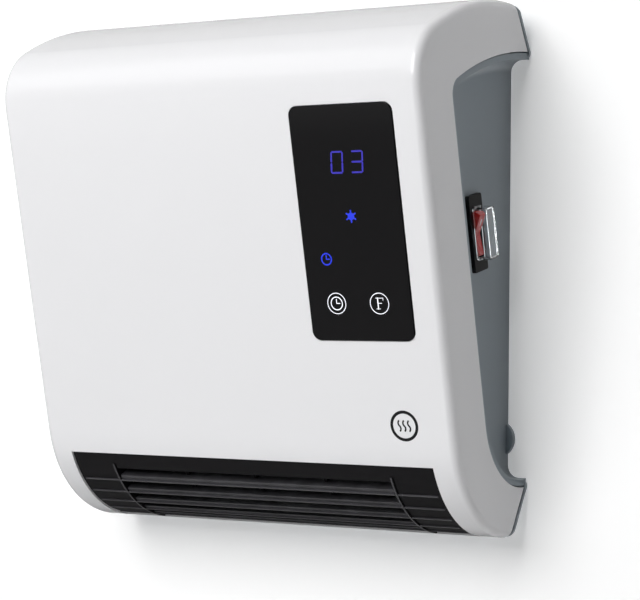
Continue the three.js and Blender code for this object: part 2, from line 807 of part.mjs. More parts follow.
function controlPanel() {
  const lensBack = panel.proud - panel.lens;
  const outline = panelOutline(0);
  const lens = new THREE.ExtrudeGeometry(new THREE.Shape(outline), {
    depth: panel.lens - panel.lensBevel,
    bevelThickness: panel.lensBevel,
    bevelSize: panel.lensBevel,
    bevelOffset: -panel.lensBevel,
    bevelSegments: 1,
  }).translate(0, 0, lensBack);
  const flatBack = plate(panelOutline(fit), lensBack, past);
  place("touch_window", solid(lens).intersect(flatBack), materials.blackGloss, panelFrame);

  const tapeTop = lensBack - panel.tapeGap;
  const tape = plate(inset(outline, displayBoard.margin), tapeTop - panel.tape, tapeTop);
  place("window_tape", tape.subtract(panelHole()), materials.tape, panelFrame);

  const top = -displayBoard.depth;
  const holes = boardPosts.map(([x, y]) => rod([x, y, -past], [x, y, past], pilotRadius, 10));
  const blank = roundedRectangle(boardWidth, boardLength, displayBoard.corner);
  const sheet = plate(blank, top - displayBoard.thickness, top);
  place("display_board", sheet.subtract(union(holes)), materials.fibreglass, panelFrame);
  boardPosts.forEach((at, i) => {
    const shank = displayBoard.thickness + screw.grip;
    const made = screwSolid([...at, top - displayBoard.thickness], [0, 0, 1], shank);
    place(`display_screw_${i + 1}`, made, materials.steel, panelFrame);
  });

  const low = top + panel.tapeGap;
  const high = lensBack - lensGap;
  const module = block(
    digits.x - digits.width / 2,
    digits.x + digits.width / 2,
    digits.up - digits.height / 2,
    digits.up + digits.height / 2,
    low,
    high,
  );
  place("digit_display", module, materials.blackPlastic, panelFrame);
  for (const name of ["fan", "timer"]) {
    const [x, y] = indicators[name];
    const guide = rod([x, y, low], [x, y, high], indicators.radius, 12);
    place(`${name}_indicator`, guide, materials.ledBlue, panelFrame);
  }
  ["timer", "function"].forEach((name, i) => {
    const x = touchKeys.x[i];
    const ring = rod([x, touchKeys.up, low], [x, touchKeys.up, high], touchKeys.radius, 16)
      .subtract(rod([x, touchKeys.up, low + touchKeys.floor], [x, touchKeys.up, high + sink],
        touchKeys.radius - touchKeys.wall, 16));
    place(`${name}_touch_spring`, ring, materials.steel, panelFrame);
  });

  const back = top - displayBoard.thickness - panel.tapeGap;
  const plug = displayPlug;
  const made = block(plug.x - plug.width / 2, plug.x + plug.width / 2, plug.up - plug.height / 2,
    plug.up + plug.height / 2, back - plug.depth, back);
  place("display_connector", made, materials.whiteNylon, panelFrame);
}

// ---------------------------------------------------------------------------------------------
// Rocker switch, in its own frame: its rest is the photographed throw, lower end pressed in

const cavityWidth = rockerSwitch.bodyWidth - 2 * rockerSwitch.wall;
const cavityLength = rockerSwitch.bodyLength - 2 * rockerSwitch.wall;

function switchHousing() {
  const s = rockerSwitch;
  const top = fit + s.bezelThickness;
  const bezel = plate(roundedRectangle(s.bezelWidth, s.bezelLength, s.bezelCorner), fit, top);
  const body = plate(roundedRectangle(s.bodyWidth, s.bodyLength, s.bodyCorner), -s.bodyDepth, top);
  const cavityOutline = roundedRectangle(cavityWidth, cavityLength, s.cavityCorner);
  const cavity = plate(cavityOutline, -s.cavityDepth, top + sink);
  const seatHalf = (s.bodyWidth - s.wall) / 2;
  const pinSeat = rod([-seatHalf, 0, -s.pivotDepth], [seatHalf, 0, -s.pivotDepth], s.pinRadius + fit, 12);
  return bezel.add(body).subtract(cavity.add(pinSeat));
}

// The rocker about its pivot, level.
function rockerSolid() {
  const form = rockerForm;
  const reach = cavityLength / 2 - form.endGap;
  const halfWidth = cavityWidth / 2 - form.sideGap;
  const profile = [
    point(-reach + form.footTaper, -form.under),
    point(reach - form.footTaper, -form.under),
    point(reach, form.shoulder),
    point(reach - form.taper, form.end),
    point(0, form.middle),
    point(form.taper - reach, form.end),
    point(-reach, form.shoulder),
  ];
  const pinHalf = (rockerSwitch.bodyWidth - rockerSwitch.wall) / 2 - fit;
  const pins = rod([-pinHalf, 0, 0], [pinHalf, 0, 0], rockerSwitch.pinRadius, 12);
  return slab(profile, -halfWidth, halfWidth).add(pins);
}

function switchCover() {
  const s = rockerSwitch;
  const base = 2 * fit + s.bezelThickness;
  const footprint = (grow, corner) =>
    roundedRectangle(s.coverWidth + 2 * grow, s.coverLength + 2 * grow, corner);
  const foot = plate(footprint(s.coverFoot, s.coverCorner + s.coverFoot), base, base + s.coverWall);
  const dome = plate(footprint(0, s.coverCorner), base, base + s.coverHeight);
  const roof = base + s.coverHeight - s.coverWall;
  const hollow = plate(footprint(-s.coverWall, s.coverCorner / 2), base - sink, roof);
  return foot.add(dome).subtract(hollow);
}

function rockerSwitchSet() {
  const s = rockerSwitch;
  place("switch_housing", switchHousing(), materials.blackPlastic, switchFrame);
  const rockerGroup = new THREE.Group();
  rockerGroup.position.z = -s.pivotDepth;
  rockerGroup.rotation.x = s.throw;
  switchFrame.add(rockerGroup);
  place("switch_rocker", rockerSolid(), materials.red, rockerGroup);
  place("switch_cover", switchCover(), materials.clear, switchFrame);
  const back = -s.bodyDepth - fit;
  [-1, 1].forEach((row, i) => {
    const y = (row * s.terminalPitch) / 2;
    const [reach, sheet] = [terminal.width / 2, terminal.thickness / 2];
    const tab = block(-reach, reach, y - sheet, y + sheet, back - terminal.length, back);
    place(`switch_terminal_${i + 1}`, tab, materials.brass, switchFrame);
  });
}

// ---------------------------------------------------------------------------------------------
// Blower, in a frame on the impeller's axis

const rad = THREE.MathUtils.degToRad;
const impellerHalf = innerX - blower.endRoom;
const plateX = impellerHalf + scroll.endGap; // inner face of each end plate
const boreEnd = impellerHalf - shaft.hubLength + shaft.hubFloor;
const blowerFeet = [-1, 1].map((side) => side * blowerBoss.spread * impellerHalf);
const scrollRadius = (degrees) =>
  blower.radius + scroll.clearance + (scroll.growth * (scroll.start - degrees)) / (scroll.start - scroll.end);
const scrollCurve = (extra) =>
  Array.from({ length: 10 }, (_, i) => {
    const degrees = scroll.start + ((scroll.end - scroll.start) * i) / 9;
    return turned(rad(degrees), scrollRadius(degrees) + extra);
  });

const finBands = core.bars - 1;
const coreHeight = core.bars * core.barHeight + finBands * core.finHeight;
// A point of the heating element's section, as it lies in the blower's frame.
function fromCore(across, alongFlow) {
  const y = core.y - blower.y - across * Math.cos(core.lean) - alongFlow * Math.sin(core.lean);
  const z = core.z - blower.z + across * Math.sin(core.lean) - alongFlow * Math.cos(core.lean);
  return point(y, z);
}
const ductClear = 1;
const coreRear = -coreHeight / 2 - ductClear;
const coreFront = coreHeight / 2 + ductClear;
const tongueTip = turned(rad(scroll.tongue), blower.radius + scroll.clearance);

const footStart = scrollRadius(0) + scroll.wall / 2;
const motorTop = motor.height / 2 - motor.rise;
const motorFoot = motorTop - motor.height;
const motorBolts = [-1, 1].map((side) => [(side * motor.screwSpacing) / 2, motorTop - motor.boltInset]);

function blowerHousing() {
  const inner = [...scrollCurve(0), fromCore(coreRear, -core.depth / 2), fromCore(coreRear, core.depth / 2)];
  const outer = (extra) => [
    fromCore(coreRear - scroll.wall - extra, core.depth / 2 + extra),
    fromCore(coreRear - scroll.wall - extra, -core.depth / 2),
    ...scrollCurve(scroll.wall + extra).reverse(),
  ];
  const wall = slab([...inner, ...outer(0)], -plateX - scroll.side / 2, plateX + scroll.side / 2);
  const cheek = [
    ...outer(scroll.rim),
    ...arc(point(0, 0), blower.radius + scroll.mouthRim, rad(scroll.start + 5), rad(scroll.tongue), 8),
    fromCore(coreFront + scroll.wall, -core.depth / 2),
    fromCore(coreFront + scroll.wall, core.depth / 2 + scroll.rim),
  ];
  const side = slab(cheek, plateX, plateX + scroll.side);
  const b = blowerBoss;
  const feet = blowerFeet.map((x) =>
    block(x - b.footHalf, x + b.footHalf, footStart, -blower.y - b.height - fit, -b.footHalf, b.footHalf)
      .subtract(rod([x, footStart + b.pilotWall, 0], [x, -blower.y, 0], pilotRadius, 10)),
  );
  const bolts = motorBolts.map(([y, z]) =>
    rod([plateX - sink, y, z], [plateX + past, y, z], pilotRadius, 10));
  const bearingHole = rod([-plateX - past, 0, 0], [-plateX + sink, 0, 0], bearing.rubber + fit, 20);
  const shaftHole = rod([plateX - sink, 0, 0], [plateX + past, 0, 0], shaft.hubRadius + scroll.wall, 20);
  return union([wall, bothSides(side), ...feet]).subtract(union([bearingHole, shaftHole, ...bolts]));
}

function frontGuide() {
  const nose = tongueTip;
  const sheet = scroll.wall;
  const foot = fromCore(coreFront, -core.depth / 2 - fit);
  const low = fromCore(coreFront + sheet, -core.depth / 2 - fit);
  const outline = [nose, point(nose.x - sheet, nose.y + 2), low, foot];
  return slab(outline, -plateX + fit, plateX - fit);
}

function blade(i) {
  const at = (2 * Math.PI * i) / blower.blades;
  const bent = at + blower.bladeSweep / 2;
  const tip = blower.radius - blower.bladeInset;
  const root = blower.radius - blower.bladeDepth;
  const bow = (root + blower.radius) / 2 - blower.bladeBow;
  const atTip = blower.bladeThickness / blower.radius;
  const atRoot = blower.bladeThickness / root;
  const outline = [
    turned(at, tip),
    turned(at + atTip, tip),
    turned(bent + atRoot, bow),
    turned(bent + atRoot, root),
    turned(bent, root),
    turned(bent - atRoot, bow),
  ];
  return slab(outline, -impellerHalf, impellerHalf);
}

function impeller() {
  const inner = blower.radius - blower.bladeDepth;
  const sheet = blower.discThickness / 2;
  const disc = (x) => rod([x - sheet, 0, 0], [x + sheet, 0, 0], blower.radius, 36);
  const eye = rod([-2 * sheet, 0, 0], [2 * sheet, 0, 0], inner - blower.bladeThickness, 24);
  const hub = rod([impellerHalf - shaft.hubLength, 0, 0], [impellerHalf, 0, 0], shaft.hubRadius, 16);
  const bore = rod([boreEnd, 0, 0], [impellerHalf + sink, 0, 0], shaft.radius + play, 16);
  return union([disc(0).subtract(eye), bothSides(disc(impellerHalf - sheet)), bothSides(hub)])
    .add(union(Array.from({ length: blower.blades }, (_, i) => blade(i))))
    .subtract(bothSides(bore));
}

const bridgeX = plateX + scroll.side + fit; // inner face of the motor's inner bridge
const stackX = bridgeX + motor.bridgeThickness + motor.bridgeGap;
const outerBridgeX = stackX + motor.stack + motor.bridgeGap;
const shaftEnd = outerBridgeX + motor.bridgeThickness + shaft.tail;

// A round hole right through the stack.
const throughStack = (radius, sides, y = 0, z = 0) =>
  rod([stackX - sink, y, z], [stackX + motor.stack + sink, y, z], radius, sides);

function motorStator() {
  const outerHalf = motor.width / 2;
  const outline = [
    point(-outerHalf, motorFoot),
    point(outerHalf, motorFoot),
    point(outerHalf, motorTop),
    point(-outerHalf, motorTop),
  ];
  const coilWindow = block(stackX - sink, stackX + motor.stack + sink, motor.legWidth - outerHalf,
    outerHalf - motor.legWidth, motorFoot + motor.legWidth, -motor.rotorRadius - motor.yoke);
  const bore = throughStack(motor.rotorRadius + motor.airGap, 24);
  const boltHoles = motorBolts.map(([y, z]) => throughStack(pilotRadius, 10, y, z));
  return slab(outline, stackX, stackX + motor.stack).subtract(union([bore, coilWindow, ...boltHoles]));
}

function motorCoil() {
  const aroundLeg = (grow, length) =>
    block(stackX - grow, stackX + motor.stack + grow, -length / 2, length / 2, motorFoot - grow,
      motorFoot + motor.legWidth + grow);
  return aroundLeg(fit + motor.coilThickness, motor.coilLength)
    .subtract(aroundLeg(fit, 2 * motor.coilLength));
}

// A strap across the stack with a bearing cup, whose pads reach to the stack on the `outwards` side or not.
function motorBridge(x, outwards) {
  const { bridgeThickness: sheet, screwSpacing, bridgeWidth } = motor;
  const halfStrap = screwSpacing / 2 + motor.bridgeEdge;
  const strap = block(x, x + sheet, -halfStrap, halfStrap, -bridgeWidth / 2, motorTop);
  const underHead = motorTop - motor.bridgeHead;
  const relief = block(x - sink, x + sheet + sink, motor.bridgeLeg, screwSpacing, -bridgeWidth, underHead);
  const [padFrom, padTo] = outwards ? [stackX + motor.stack + fit, x + sink] : [x, stackX - fit];
  const [cupFrom, cupTo] = outwards ? [x - motor.cupDepth, x + sheet] : [x, x + sheet + motor.cupDepth];
  const pads = motorBolts.map(([y, z]) =>
    rod([padFrom, y, z], [padTo, y, z], screw.radius + motor.padWall, 12));
  const holes = motorBolts.map(([y, z]) => rod([x - past, y, z], [x + past, y, z], pilotRadius, 10));
  const cup = rod([cupFrom, 0, 0], [cupTo, 0, 0], shaft.hubRadius, 16);
  return union([strap.subtract(bothYSides(relief)), cup, ...pads])
    .subtract(union([rod([x - past, 0, 0], [x + past, 0, 0], shaft.radius + play, 16), ...holes]));
}

function motorSet() {
  place("motor_stator", motorStator(), materials.steel, blowerFrame);
  place("motor_coil", motorCoil(), materials.copper, blowerFrame);
  const rotor = rod([stackX, 0, 0], [stackX + motor.stack, 0, 0], motor.rotorRadius, 24)
    .subtract(throughStack(shaft.radius + play, 16));
  place("motor_rotor", rotor, materials.aluminium, blowerFrame);
  const axle = rod([boreEnd + fit, 0, 0], [shaftEnd, 0, 0], shaft.radius, 16);
  place("motor_shaft", axle, materials.steel, blowerFrame);
  place("motor_inner_bridge", motorBridge(bridgeX, false), materials.zincPlate, blowerFrame);
  place("motor_outer_bridge", motorBridge(outerBridgeX, true), materials.zincPlate, blowerFrame);
  const seat = outerBridgeX + motor.bridgeThickness;
  motorBolts.forEach(([y, z], i) => {
    const made = screwSolid([seat, y, z], [-1, 0, 0], seat - plateX - blowerBoss.tipGap);
    place(`motor_screw_${i + 1}`, made, materials.steel, blowerFrame);
  });
}

function bothYSides(made) {
  return made.add(made.mirror([0, 1, 0]));
}

function blowerSet() {
  place("blower_housing", blowerHousing(), materials.ductPlastic, blowerFrame);
  place("blower_front_guide", frontGuide(), materials.ductPlastic, blowerFrame);
  place("impeller", impeller(), materials.blackPlastic, blowerFrame);
  const pinEnd = -plateX - scroll.side - shaft.hubFloor;
  const pin = rod([-boreEnd - fit, 0, 0], [pinEnd, 0, 0], shaft.radius, 16);
  place("impeller_pin", pin, materials.steel, blowerFrame);
  const bushX = -plateX - (bearing.length + scroll.side) / 2 - bearing.setback;
  const collar = (radius, bore) =>
    rod([bushX, 0, 0], [bushX + bearing.length, 0, 0], radius, 20)
      .subtract(rod([bushX - sink, 0, 0], [bushX + bearing.length + sink, 0, 0], bore, 20));
  place("bearing_bush", collar(bearing.radius, shaft.radius + play), materials.brass, blowerFrame);
  place("bearing_rubber", collar(bearing.rubber, bearing.radius + fit), materials.rubber, blowerFrame);
  motorSet();
  blowerFeet.forEach((x, i) => {
    const seat = -blower.y - blowerBoss.seat;
    const shank = seat - footStart - blowerBoss.pilotWall - blowerBoss.tipGap;
    place(`blower_screw_${i + 1}`, screwSolid([x, seat, 0], [0, -1, 0], shank), materials.steel, blowerFrame);
  });
}

// ---------------------------------------------------------------------------------------------
// Heating element, in a frame with Y across the air flow and Z along it

const coreHalf = plateX - core.holder - 2 * fit;

function heatingCore() {
  const barHalf = core.depth / 2 - core.barInset;
  const barEnd = coreHalf + core.grip;
  const bars = Array.from({ length: core.bars }, (_, i) => {
    const y = -coreHeight / 2 + i * (core.barHeight + core.finHeight);
    return block(-barEnd, barEnd, y, y + core.barHeight, -barHalf, barHalf);
  });
  const finReach = coreHeight / 2 - core.barInset;
  const perBand = Math.floor((2 * coreHalf - 2) / core.finPitch);
  const fins = Array.from({ length: perBand + 1 }, (_, i) => {
    const x = (i - perBand / 2) * core.finPitch;
    return block(x - core.finThickness / 2, x + core.finThickness / 2, -finReach, finReach,
      -core.depth / 2, core.depth / 2);
  });
  place("heating_element", union([...bars, ...fins]), materials.aluminium, coreFrame);

  const wall = coreHeight / 2 + core.holderWall;
  const slot = coreHeight / 2 + fit;
  const grip = block(coreHalf + fit, plateX - fit, -wall, wall, -core.depth / 2, core.depth / 2)
    .subtract(block(0, barEnd + fit, -slot, slot, -barHalf - fit, barHalf + fit));
  place("element_holder_left", mirrored(grip), materials.heatPlastic, coreFrame);
  place("element_holder_right", grip, materials.heatPlastic, coreFrame);
}

// ---------------------------------------------------------------------------------------------
// Control board on four posts of the back panel

const boardStand = [-1, 1].flatMap((sideways) =>
  [-1, 1].map((upwards) => [
    board.x + sideways * (board.width / 2 - board.postInset),
    board.z + upwards * (board.height / 2 - board.postInset),
  ]),
);

const boardSeat = -board.standoff - board.thickness - panel.tapeGap; // what stands on it begins here

function controlBoard() {
  const back = -board.standoff;
  const front = back - board.thickness;
  const holes = boardStand.map(([x, z]) => rod([x, past, z], [x, front - past, z], pilotRadius, 10));
  const sheet = block(
    board.x - board.width / 2,
    board.x + board.width / 2,
    front,
    back,
    board.z - board.height / 2,
    board.z + board.height / 2,
  );
  place("control_board", sheet.subtract(union(holes)), materials.fibreglass);
  boardStand.forEach(([x, z], i) => {
    const made = screwSolid([x, front, z], [0, 1, 0], board.thickness + board.screwGrip);
    place(`board_screw_${i + 1}`, made, materials.steel);
  });
  const part = (name, { up, width, height, depth }, x, material) =>
    place(name, block(board.x + x - width / 2, board.x + x + width / 2, boardSeat - depth, boardSeat,
      board.z + up - height / 2, board.z + up + height / 2), material);
  part("relay_low_heat", relay, relay.x[0], materials.relayBlue);
  part("relay_high_heat", relay, relay.x[1], materials.relayBlue);
  part("mains_capacitor", capacitor, capacitor.x, materials.capacitorYellow);
  part("terminal_block", terminalBlock, terminalBlock.x, materials.whiteNylon);
  part("display_socket", socket, socket.x, materials.whiteNylon);
  const [x, z] = [board.x + buzzer.x, board.z + buzzer.up];
  const can = rod([x, boardSeat, z], [x, boardSeat - buzzer.depth, z], buzzer.radius, 16);
  place("buzzer", can, materials.blackPlastic);
}

// ---------------------------------------------------------------------------------------------
// Overheat cutout on the blower's left end plate, and the two leads

const cutoutPlace = fromCore(0, -cutout.aboveCore);

function thermalCutout() {
  const seat = -plateX - scroll.side - fit;
  const { x: y, y: z } = cutoutPlace;
  const tab = (side) => {
    const middle = z + (side * cutout.radius) / 2;
    return block(seat - cutout.depth - cutout.tab, seat - cutout.depth + sink, y - cutout.tabWidth / 2,
      y + cutout.tabWidth / 2, middle - cutout.tabThickness / 2, middle + cutout.tabThickness / 2);
  };
  const body = rod([seat, y, z], [seat - cutout.depth, y, z], cutout.radius, 20);
  place("thermal_cutout", union([body, tab(-1), tab(1)]), materials.blackPlastic, blowerFrame);
}

// A round lead through the given points.
function lead(points, radius, steps) {
  const curve = new THREE.CatmullRomCurve3(points.map((p) => new THREE.Vector3(...p)), false, "centripetal");
  const outline = new THREE.Shape(arc(point(0, 0), radius, 0, 2 * Math.PI * (1 - 1 / 8), 7));
  return solid(new THREE.ExtrudeGeometry(outline, { extrudePath: curve, steps, bevelEnabled: false }));
}

// From the socket on the control board to the plug behind the display board.
function displayCable() {
  const behind = -displayBoard.depth - displayBoard.thickness - panel.tapeGap - displayPlug.depth - fit;
  const inPanel = (z) =>
    new THREE.Vector3(displayPlug.x, displayPlug.up, z).applyMatrix4(panelFrame.matrixWorld);
  const [x, y, z] = [board.x + socket.x, boardSeat - socket.depth - fit, board.z + socket.up];
  const route = [
    [x, y, z],
    [x, y - 7, z],
    [x + 34, y - 22, z - 6],
    [x + 84, y - 40, z - 22],
    inPanel(behind - 7).toArray(),
    inPanel(behind).toArray(),
  ];
  return lead(route, leadRadius.display, 26);
}

// From the terminal block down to the overheat cutout's upper tab.
function cutoutLead() {
  const x = board.x + terminalBlock.x;
  const y = boardSeat - terminalBlock.depth / 2;
  const z = board.z + terminalBlock.up - terminalBlock.height / 2 - fit;
  const tabX = -plateX - scroll.side - 2 * fit - cutout.depth - cutout.tab;
  const tabY = blower.y + cutoutPlace.x;
  const tabZ = blower.z + cutoutPlace.y + cutout.radius / 2;
  const route = [
    [x, y, z],
    [x, y, z - 6],
    [x - 30, y - 1, z - 13],
    [tabX - 6, y - 6, z - 26],
    [tabX - 9, tabY - 2, tabZ + 16],
    [tabX - 7, tabY, tabZ],
    [tabX, tabY, tabZ],
  ];
  return lead(route, leadRadius.mains, 34);
}

// ---------------------------------------------------------------------------------------------
// What holds the heater to the wall, the cord's gland and the case screws

function wallBracket() {
  const b = bracket;
  const [low, high] = [b.hang - b.height / 2, b.hang + b.height / 2];
  const sheet = block(-b.width / 2, b.width / 2, -b.thickness, 0, low, high);
  const holeX = b.holeSpacing / 2;
  const hole = rod([holeX, -past, b.hang], [holeX, past, b.hang], b.holeRadius, 16);
  const lipY = -b.standoff - casing.wall - fit;
  const [left, right] = [b.hookX - b.hookWidth / 2, b.hookX + b.hookWidth / 2];
  const under = b.hang - b.thickness / 2;
  const arm = block(left, right, lipY - b.thickness, -b.thickness / 2, under, under + b.thickness);
  const lip = block(left, right, lipY - b.thickness, lipY, under, b.hang + b.hookRise);
  place("wall_bracket", sheet.subtract(bothSides(hole)).add(bothSides(arm.add(lip))), materials.zincPlate);
}

function cordGland() {
  const head = rod([0, 0, fit], [0, 0, fit + gland.flange], gland.flangeRadius, 20);
  const neck = rod([0, 0, fit + sink], [0, 0, -gland.length], gland.radius, 20);
  const barbFrom = -rim.flange - gland.barbSetback - fit;
  const tail = rod([0, 0, barbFrom], [0, 0, -gland.length], gland.radius + gland.barb, 20);
  const bore = rod([0, 0, past], [0, 0, -gland.length - sink], gland.bore, 16);
  place("cord_gland", union([head, neck, tail]).subtract(bore), materials.rubber, glandFrame);
}

function caseScrews() {
  fasteners.forEach(({ name, x, z, joint }) => {
    const shank = casingJoint.shank - casingJoint.tipGap;
    const made = screwSolid([x, -joint + casingJoint.shelf, z], [0, -1, 0], shank);
    place(`case_screw_${name}`, made, materials.steel);
  });
}

place("front_shell", frontShell(), materials.whitePlastic);
place("rear_casing", rearCasing(), materials.greyPlastic);
place("outlet_grille", outletGrille(), materials.blackPlastic);
controlPanel();
rockerSwitchSet();
blowerSet();
heatingCore();
controlBoard();
wallBracket();
cordGland();
caseScrews();
thermalCutout();
place("display_cable", displayCable(), materials.wireWhite);
place("cutout_lead", cutoutLead(), materials.wireRed);

heater.position.z = -bracket.hang;
const root = new THREE.Group();
root.add(heater);
export default root;
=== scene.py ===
"""Dresses a wall-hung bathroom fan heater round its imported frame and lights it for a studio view."""

import json
import logging
import math
from dataclasses import dataclass, field, replace
from enum import Enum

import bmesh
import bpy
from mathutils import Matrix, Vector


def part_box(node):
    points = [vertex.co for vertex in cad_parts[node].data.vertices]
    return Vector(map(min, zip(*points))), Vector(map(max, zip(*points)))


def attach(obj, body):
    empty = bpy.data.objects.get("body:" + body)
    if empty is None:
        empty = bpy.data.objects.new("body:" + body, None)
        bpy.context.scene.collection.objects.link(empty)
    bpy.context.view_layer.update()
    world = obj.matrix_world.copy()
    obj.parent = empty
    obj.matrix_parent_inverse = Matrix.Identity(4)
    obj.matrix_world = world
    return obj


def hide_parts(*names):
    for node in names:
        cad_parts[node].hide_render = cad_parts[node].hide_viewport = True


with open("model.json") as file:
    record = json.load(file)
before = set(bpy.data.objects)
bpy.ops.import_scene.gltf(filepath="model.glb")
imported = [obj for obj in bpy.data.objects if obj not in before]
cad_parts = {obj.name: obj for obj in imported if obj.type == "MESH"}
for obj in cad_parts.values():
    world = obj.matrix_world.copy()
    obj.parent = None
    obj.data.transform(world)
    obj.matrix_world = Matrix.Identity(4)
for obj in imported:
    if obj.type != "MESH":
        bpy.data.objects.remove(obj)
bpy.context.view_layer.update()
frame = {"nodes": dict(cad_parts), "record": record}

# Lengths are in mm and turned to metres where a mesh is made.
MM = 0.001
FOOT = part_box("front_shell")[0].z  # height of the heater's lowest point, in metres
TILT = math.radians(13)  # how far the front leans back towards its foot
REACH = 20.0  # how far a cutter runs past what it cuts
SHORT_REACH = 1.0  # the same where something else stands near
OVERLAP = 0.5  # how far a piece runs into the one that it is fused with
SKIM = 0.01  # keeps two faces out of one plane
HAIR = 1e-4  # points of an outline that are nearer than this are one
NEAR = 1e-3  # the same for the points of a solid
SHADE_ANGLE = math.radians(30)  # steeper edges stay sharp to the eye
WHITE = (1.0, 1.0, 1.0, 1.0)

Piece = bpy.types.Object
Triple = tuple[float, float, float]  # a place, or three measures

LOG = logging.getLogger("heater")
logging.basicConfig(level=logging.INFO, format="%(name)s: %(message)s")


# ------------------------------------------------------------------------------------------------
# Finishes


class Grain(Enum):
    """How a surface's fine relief runs, as the scale of its pattern along each axis."""

    EVEN = (1.0, 1.0, 1.0)
    BRUSHED = (0.04, 1.0, 1.0)
    WOUND = (1.0, 0.06, 0.06)


def linear(code: str) -> tuple[float, float, float, float]:
    """Turns an sRGB hex colour into linear light, by the standard's own curve.

    Args:
        code: The colour as "#RRGGBB".

    Returns:
        Red, green, blue and an alpha of 1, as linear values.
    """
    channels = [int(code[i : i + 2], 16) / 255 for i in (1, 3, 5)]
    light = [c / 12.92 if c <= 0.04045 else ((c + 0.055) / 1.055) ** 2.4 for c in channels]
    return (light[0], light[1], light[2], 1.0)


def add_node(
    tree: bpy.types.NodeTree,
    kind: str,
    settings: dict[str | int, object] | None = None,
    links: dict[str | int, bpy.types.NodeSocket] | None = None,
    attributes: dict[str, object] | None = None,
) -> bpy.types.Node:
    """Adds a node, sets its sockets and links them.

    Args:
        tree: The node tree that gets the node.
        kind: The node's type name, such as "ShaderNodeTexNoise".
        settings: Values for input sockets, by the socket's name or number.
        links: Output sockets to link to input sockets, by the input's name or number.
        attributes: Values for the node's own properties.

    Returns:
        The new node.
    """
    made = tree.nodes.new(kind)
    for name, value in (attributes or {}).items():
        setattr(made, name, value)
    for name, value in (settings or {}).items():
        made.inputs[name].default_value = value
    for name, socket in (links or {}).items():
        tree.links.new(socket, made.inputs[name])
    return made


@dataclass(frozen=True)
class Finish:
    """A real surface: what it is made of and what that gives the eye."""

    name: str
    colour: str
    roughness: float
    metallic: float = 0.0
    ior: float = 1.5
    coat: float = 0.0
    transmission: float = 0.0
    glow: float = 0.0
    specular: float = 0.5
    grain: Grain = Grain.EVEN
    grain_mm: float = 0.8  # size of the relief's bumps
    relief: float = 0.02  # depth of the relief, in mm
    mottle: float = 0.03  # share by which the colour wanders
    mottle_mm: float = 30.0
    roughness_spread: float = 0.04
    least_roughness: float = 0.02
    coat_roughness: float = 0.04

    def material(self) -> bpy.types.Material:
        """Returns the finish as a material, made once."""
        known = bpy.data.materials.get(self.name)
        return known if known else self._build()

    def _build(self) -> bpy.types.Material:
        """Builds the material's nodes.

        Returns:
            The new material.
        """
        made = bpy.data.materials.new(self.name)
        made.use_nodes = True
        tree = made.node_tree
        tree.nodes.clear()
        place = self._mapped_place(tree)
        patches = add_node(tree, "ShaderNodeTexNoise", {"Scale": 1 / (self.mottle_mm * MM), "Detail": 3.0},
                           {"Vector": place})
        light = linear(self.colour)
        dark = tuple(c * (1 - self.mottle) for c in light[:3]) + (1.0,)
        tone = add_node(tree, "ShaderNodeMix", {"A": dark, "B": light}, {"Factor": patches.outputs["Fac"]},
                        {"data_type": "RGBA"})
        sheen = add_node(tree, "ShaderNodeMapRange",
                         {"To Min": max(self.roughness - self.roughness_spread, self.least_roughness),
                          "To Max": self.roughness + self.roughness_spread},
                         {"Value": patches.outputs["Fac"]})
        fine = add_node(tree, "ShaderNodeTexNoise", {"Scale": 1 / (self.grain_mm * MM), "Detail": 2.0},
                        {"Vector": place})
        bump = add_node(tree, "ShaderNodeBump", {"Strength": 1.0, "Distance": self.relief * MM},
                        {"Height": fine.outputs["Fac"]})
        shader = add_node(
            tree, "ShaderNodeBsdfPrincipled",
            {"Metallic": self.metallic, "IOR": self.ior, "Coat Weight": self.coat,
             "Coat Roughness": self.coat_roughness, "Transmission Weight": self.transmission,
             "Specular IOR Level": self.specular, "Emission Strength": self.glow, "Emission Color": light},
            {"Base Color": tone.outputs["Result"], "Roughness": sheen.outputs["Result"],
             "Normal": bump.outputs["Normal"]},
        )
        add_node(tree, "ShaderNodeOutputMaterial", links={"Surface": shader.outputs["BSDF"]})
        return made

    def _mapped_place(self, tree: bpy.types.NodeTree) -> bpy.types.NodeSocket:
        """Adds the coordinates that the pattern reads, stretched for brushed and wound surfaces.

        Args:
            tree: The material's node tree.

        Returns:
            The socket that gives the coordinates.
        """
        coordinates = add_node(tree, "ShaderNodeTexCoord").outputs["Object"]
        if self.grain is Grain.EVEN:
            return coordinates
        mapping = add_node(tree, "ShaderNodeMapping", {"Scale": self.grain.value}, {"Vector": coordinates})
        return mapping.outputs["Vector"]


# Polished ABS, as it leaves a mirror-finished mould: a hard, wet-looking gloss over a clean white.
GLOSS_ABS = Finish("gloss_white_abs", "#F1F1F3", 0.16, coat=0.3, specular=0.4, grain_mm=6, relief=0.004,
                   mottle=0.008)
# Spark-eroded grey ABS: an even satin with a fine leathery grain.
GREY_ABS = Finish("grey_grained_abs", "#97A1A8", 0.45, grain_mm=0.7, relief=0.02, mottle=0.05)
# Black glass-filled polyamide of the grille: satin, slightly dusty in its low spots.
BLACK_PA = Finish("black_polyamide", "#161517", 0.45, specular=0.1, grain_mm=0.6, relief=0.02, mottle=0.12)
# The same black polyamide on the slats, which left a smoother mould, painted lighter and in bright patches:
# painted light for the lit faces and glints inside the openings.
SLAT_PA_PAINTED_LIGHT = Finish("smooth_black_polyamide_painted_light", "#4E4D51", 0.3, specular=0.45, grain_mm=0.9, relief=0.01,
                 mottle=0.85, mottle_mm=8)
# The same black polyamide on the raised beads, painted lighter as a highlight: a painted bright line along
# each slat's edge and each end rib.
BEAD_PA_PAINTED_HIGHLIGHT = Finish("black_polyamide_painted_highlight", "#48474B", 0.2, specular=0.6, grain_mm=0.9, relief=0.01,
                   mottle=0.5, mottle_mm=14)
# Back-painted acrylic: black under a flawless clear face.
BLACK_ACRYLIC = Finish("back_painted_acrylic", "#0B0A0C", 0.07, specular=0.12, relief=0.001, grain_mm=8,
                       mottle=0.02, roughness_spread=0.01)
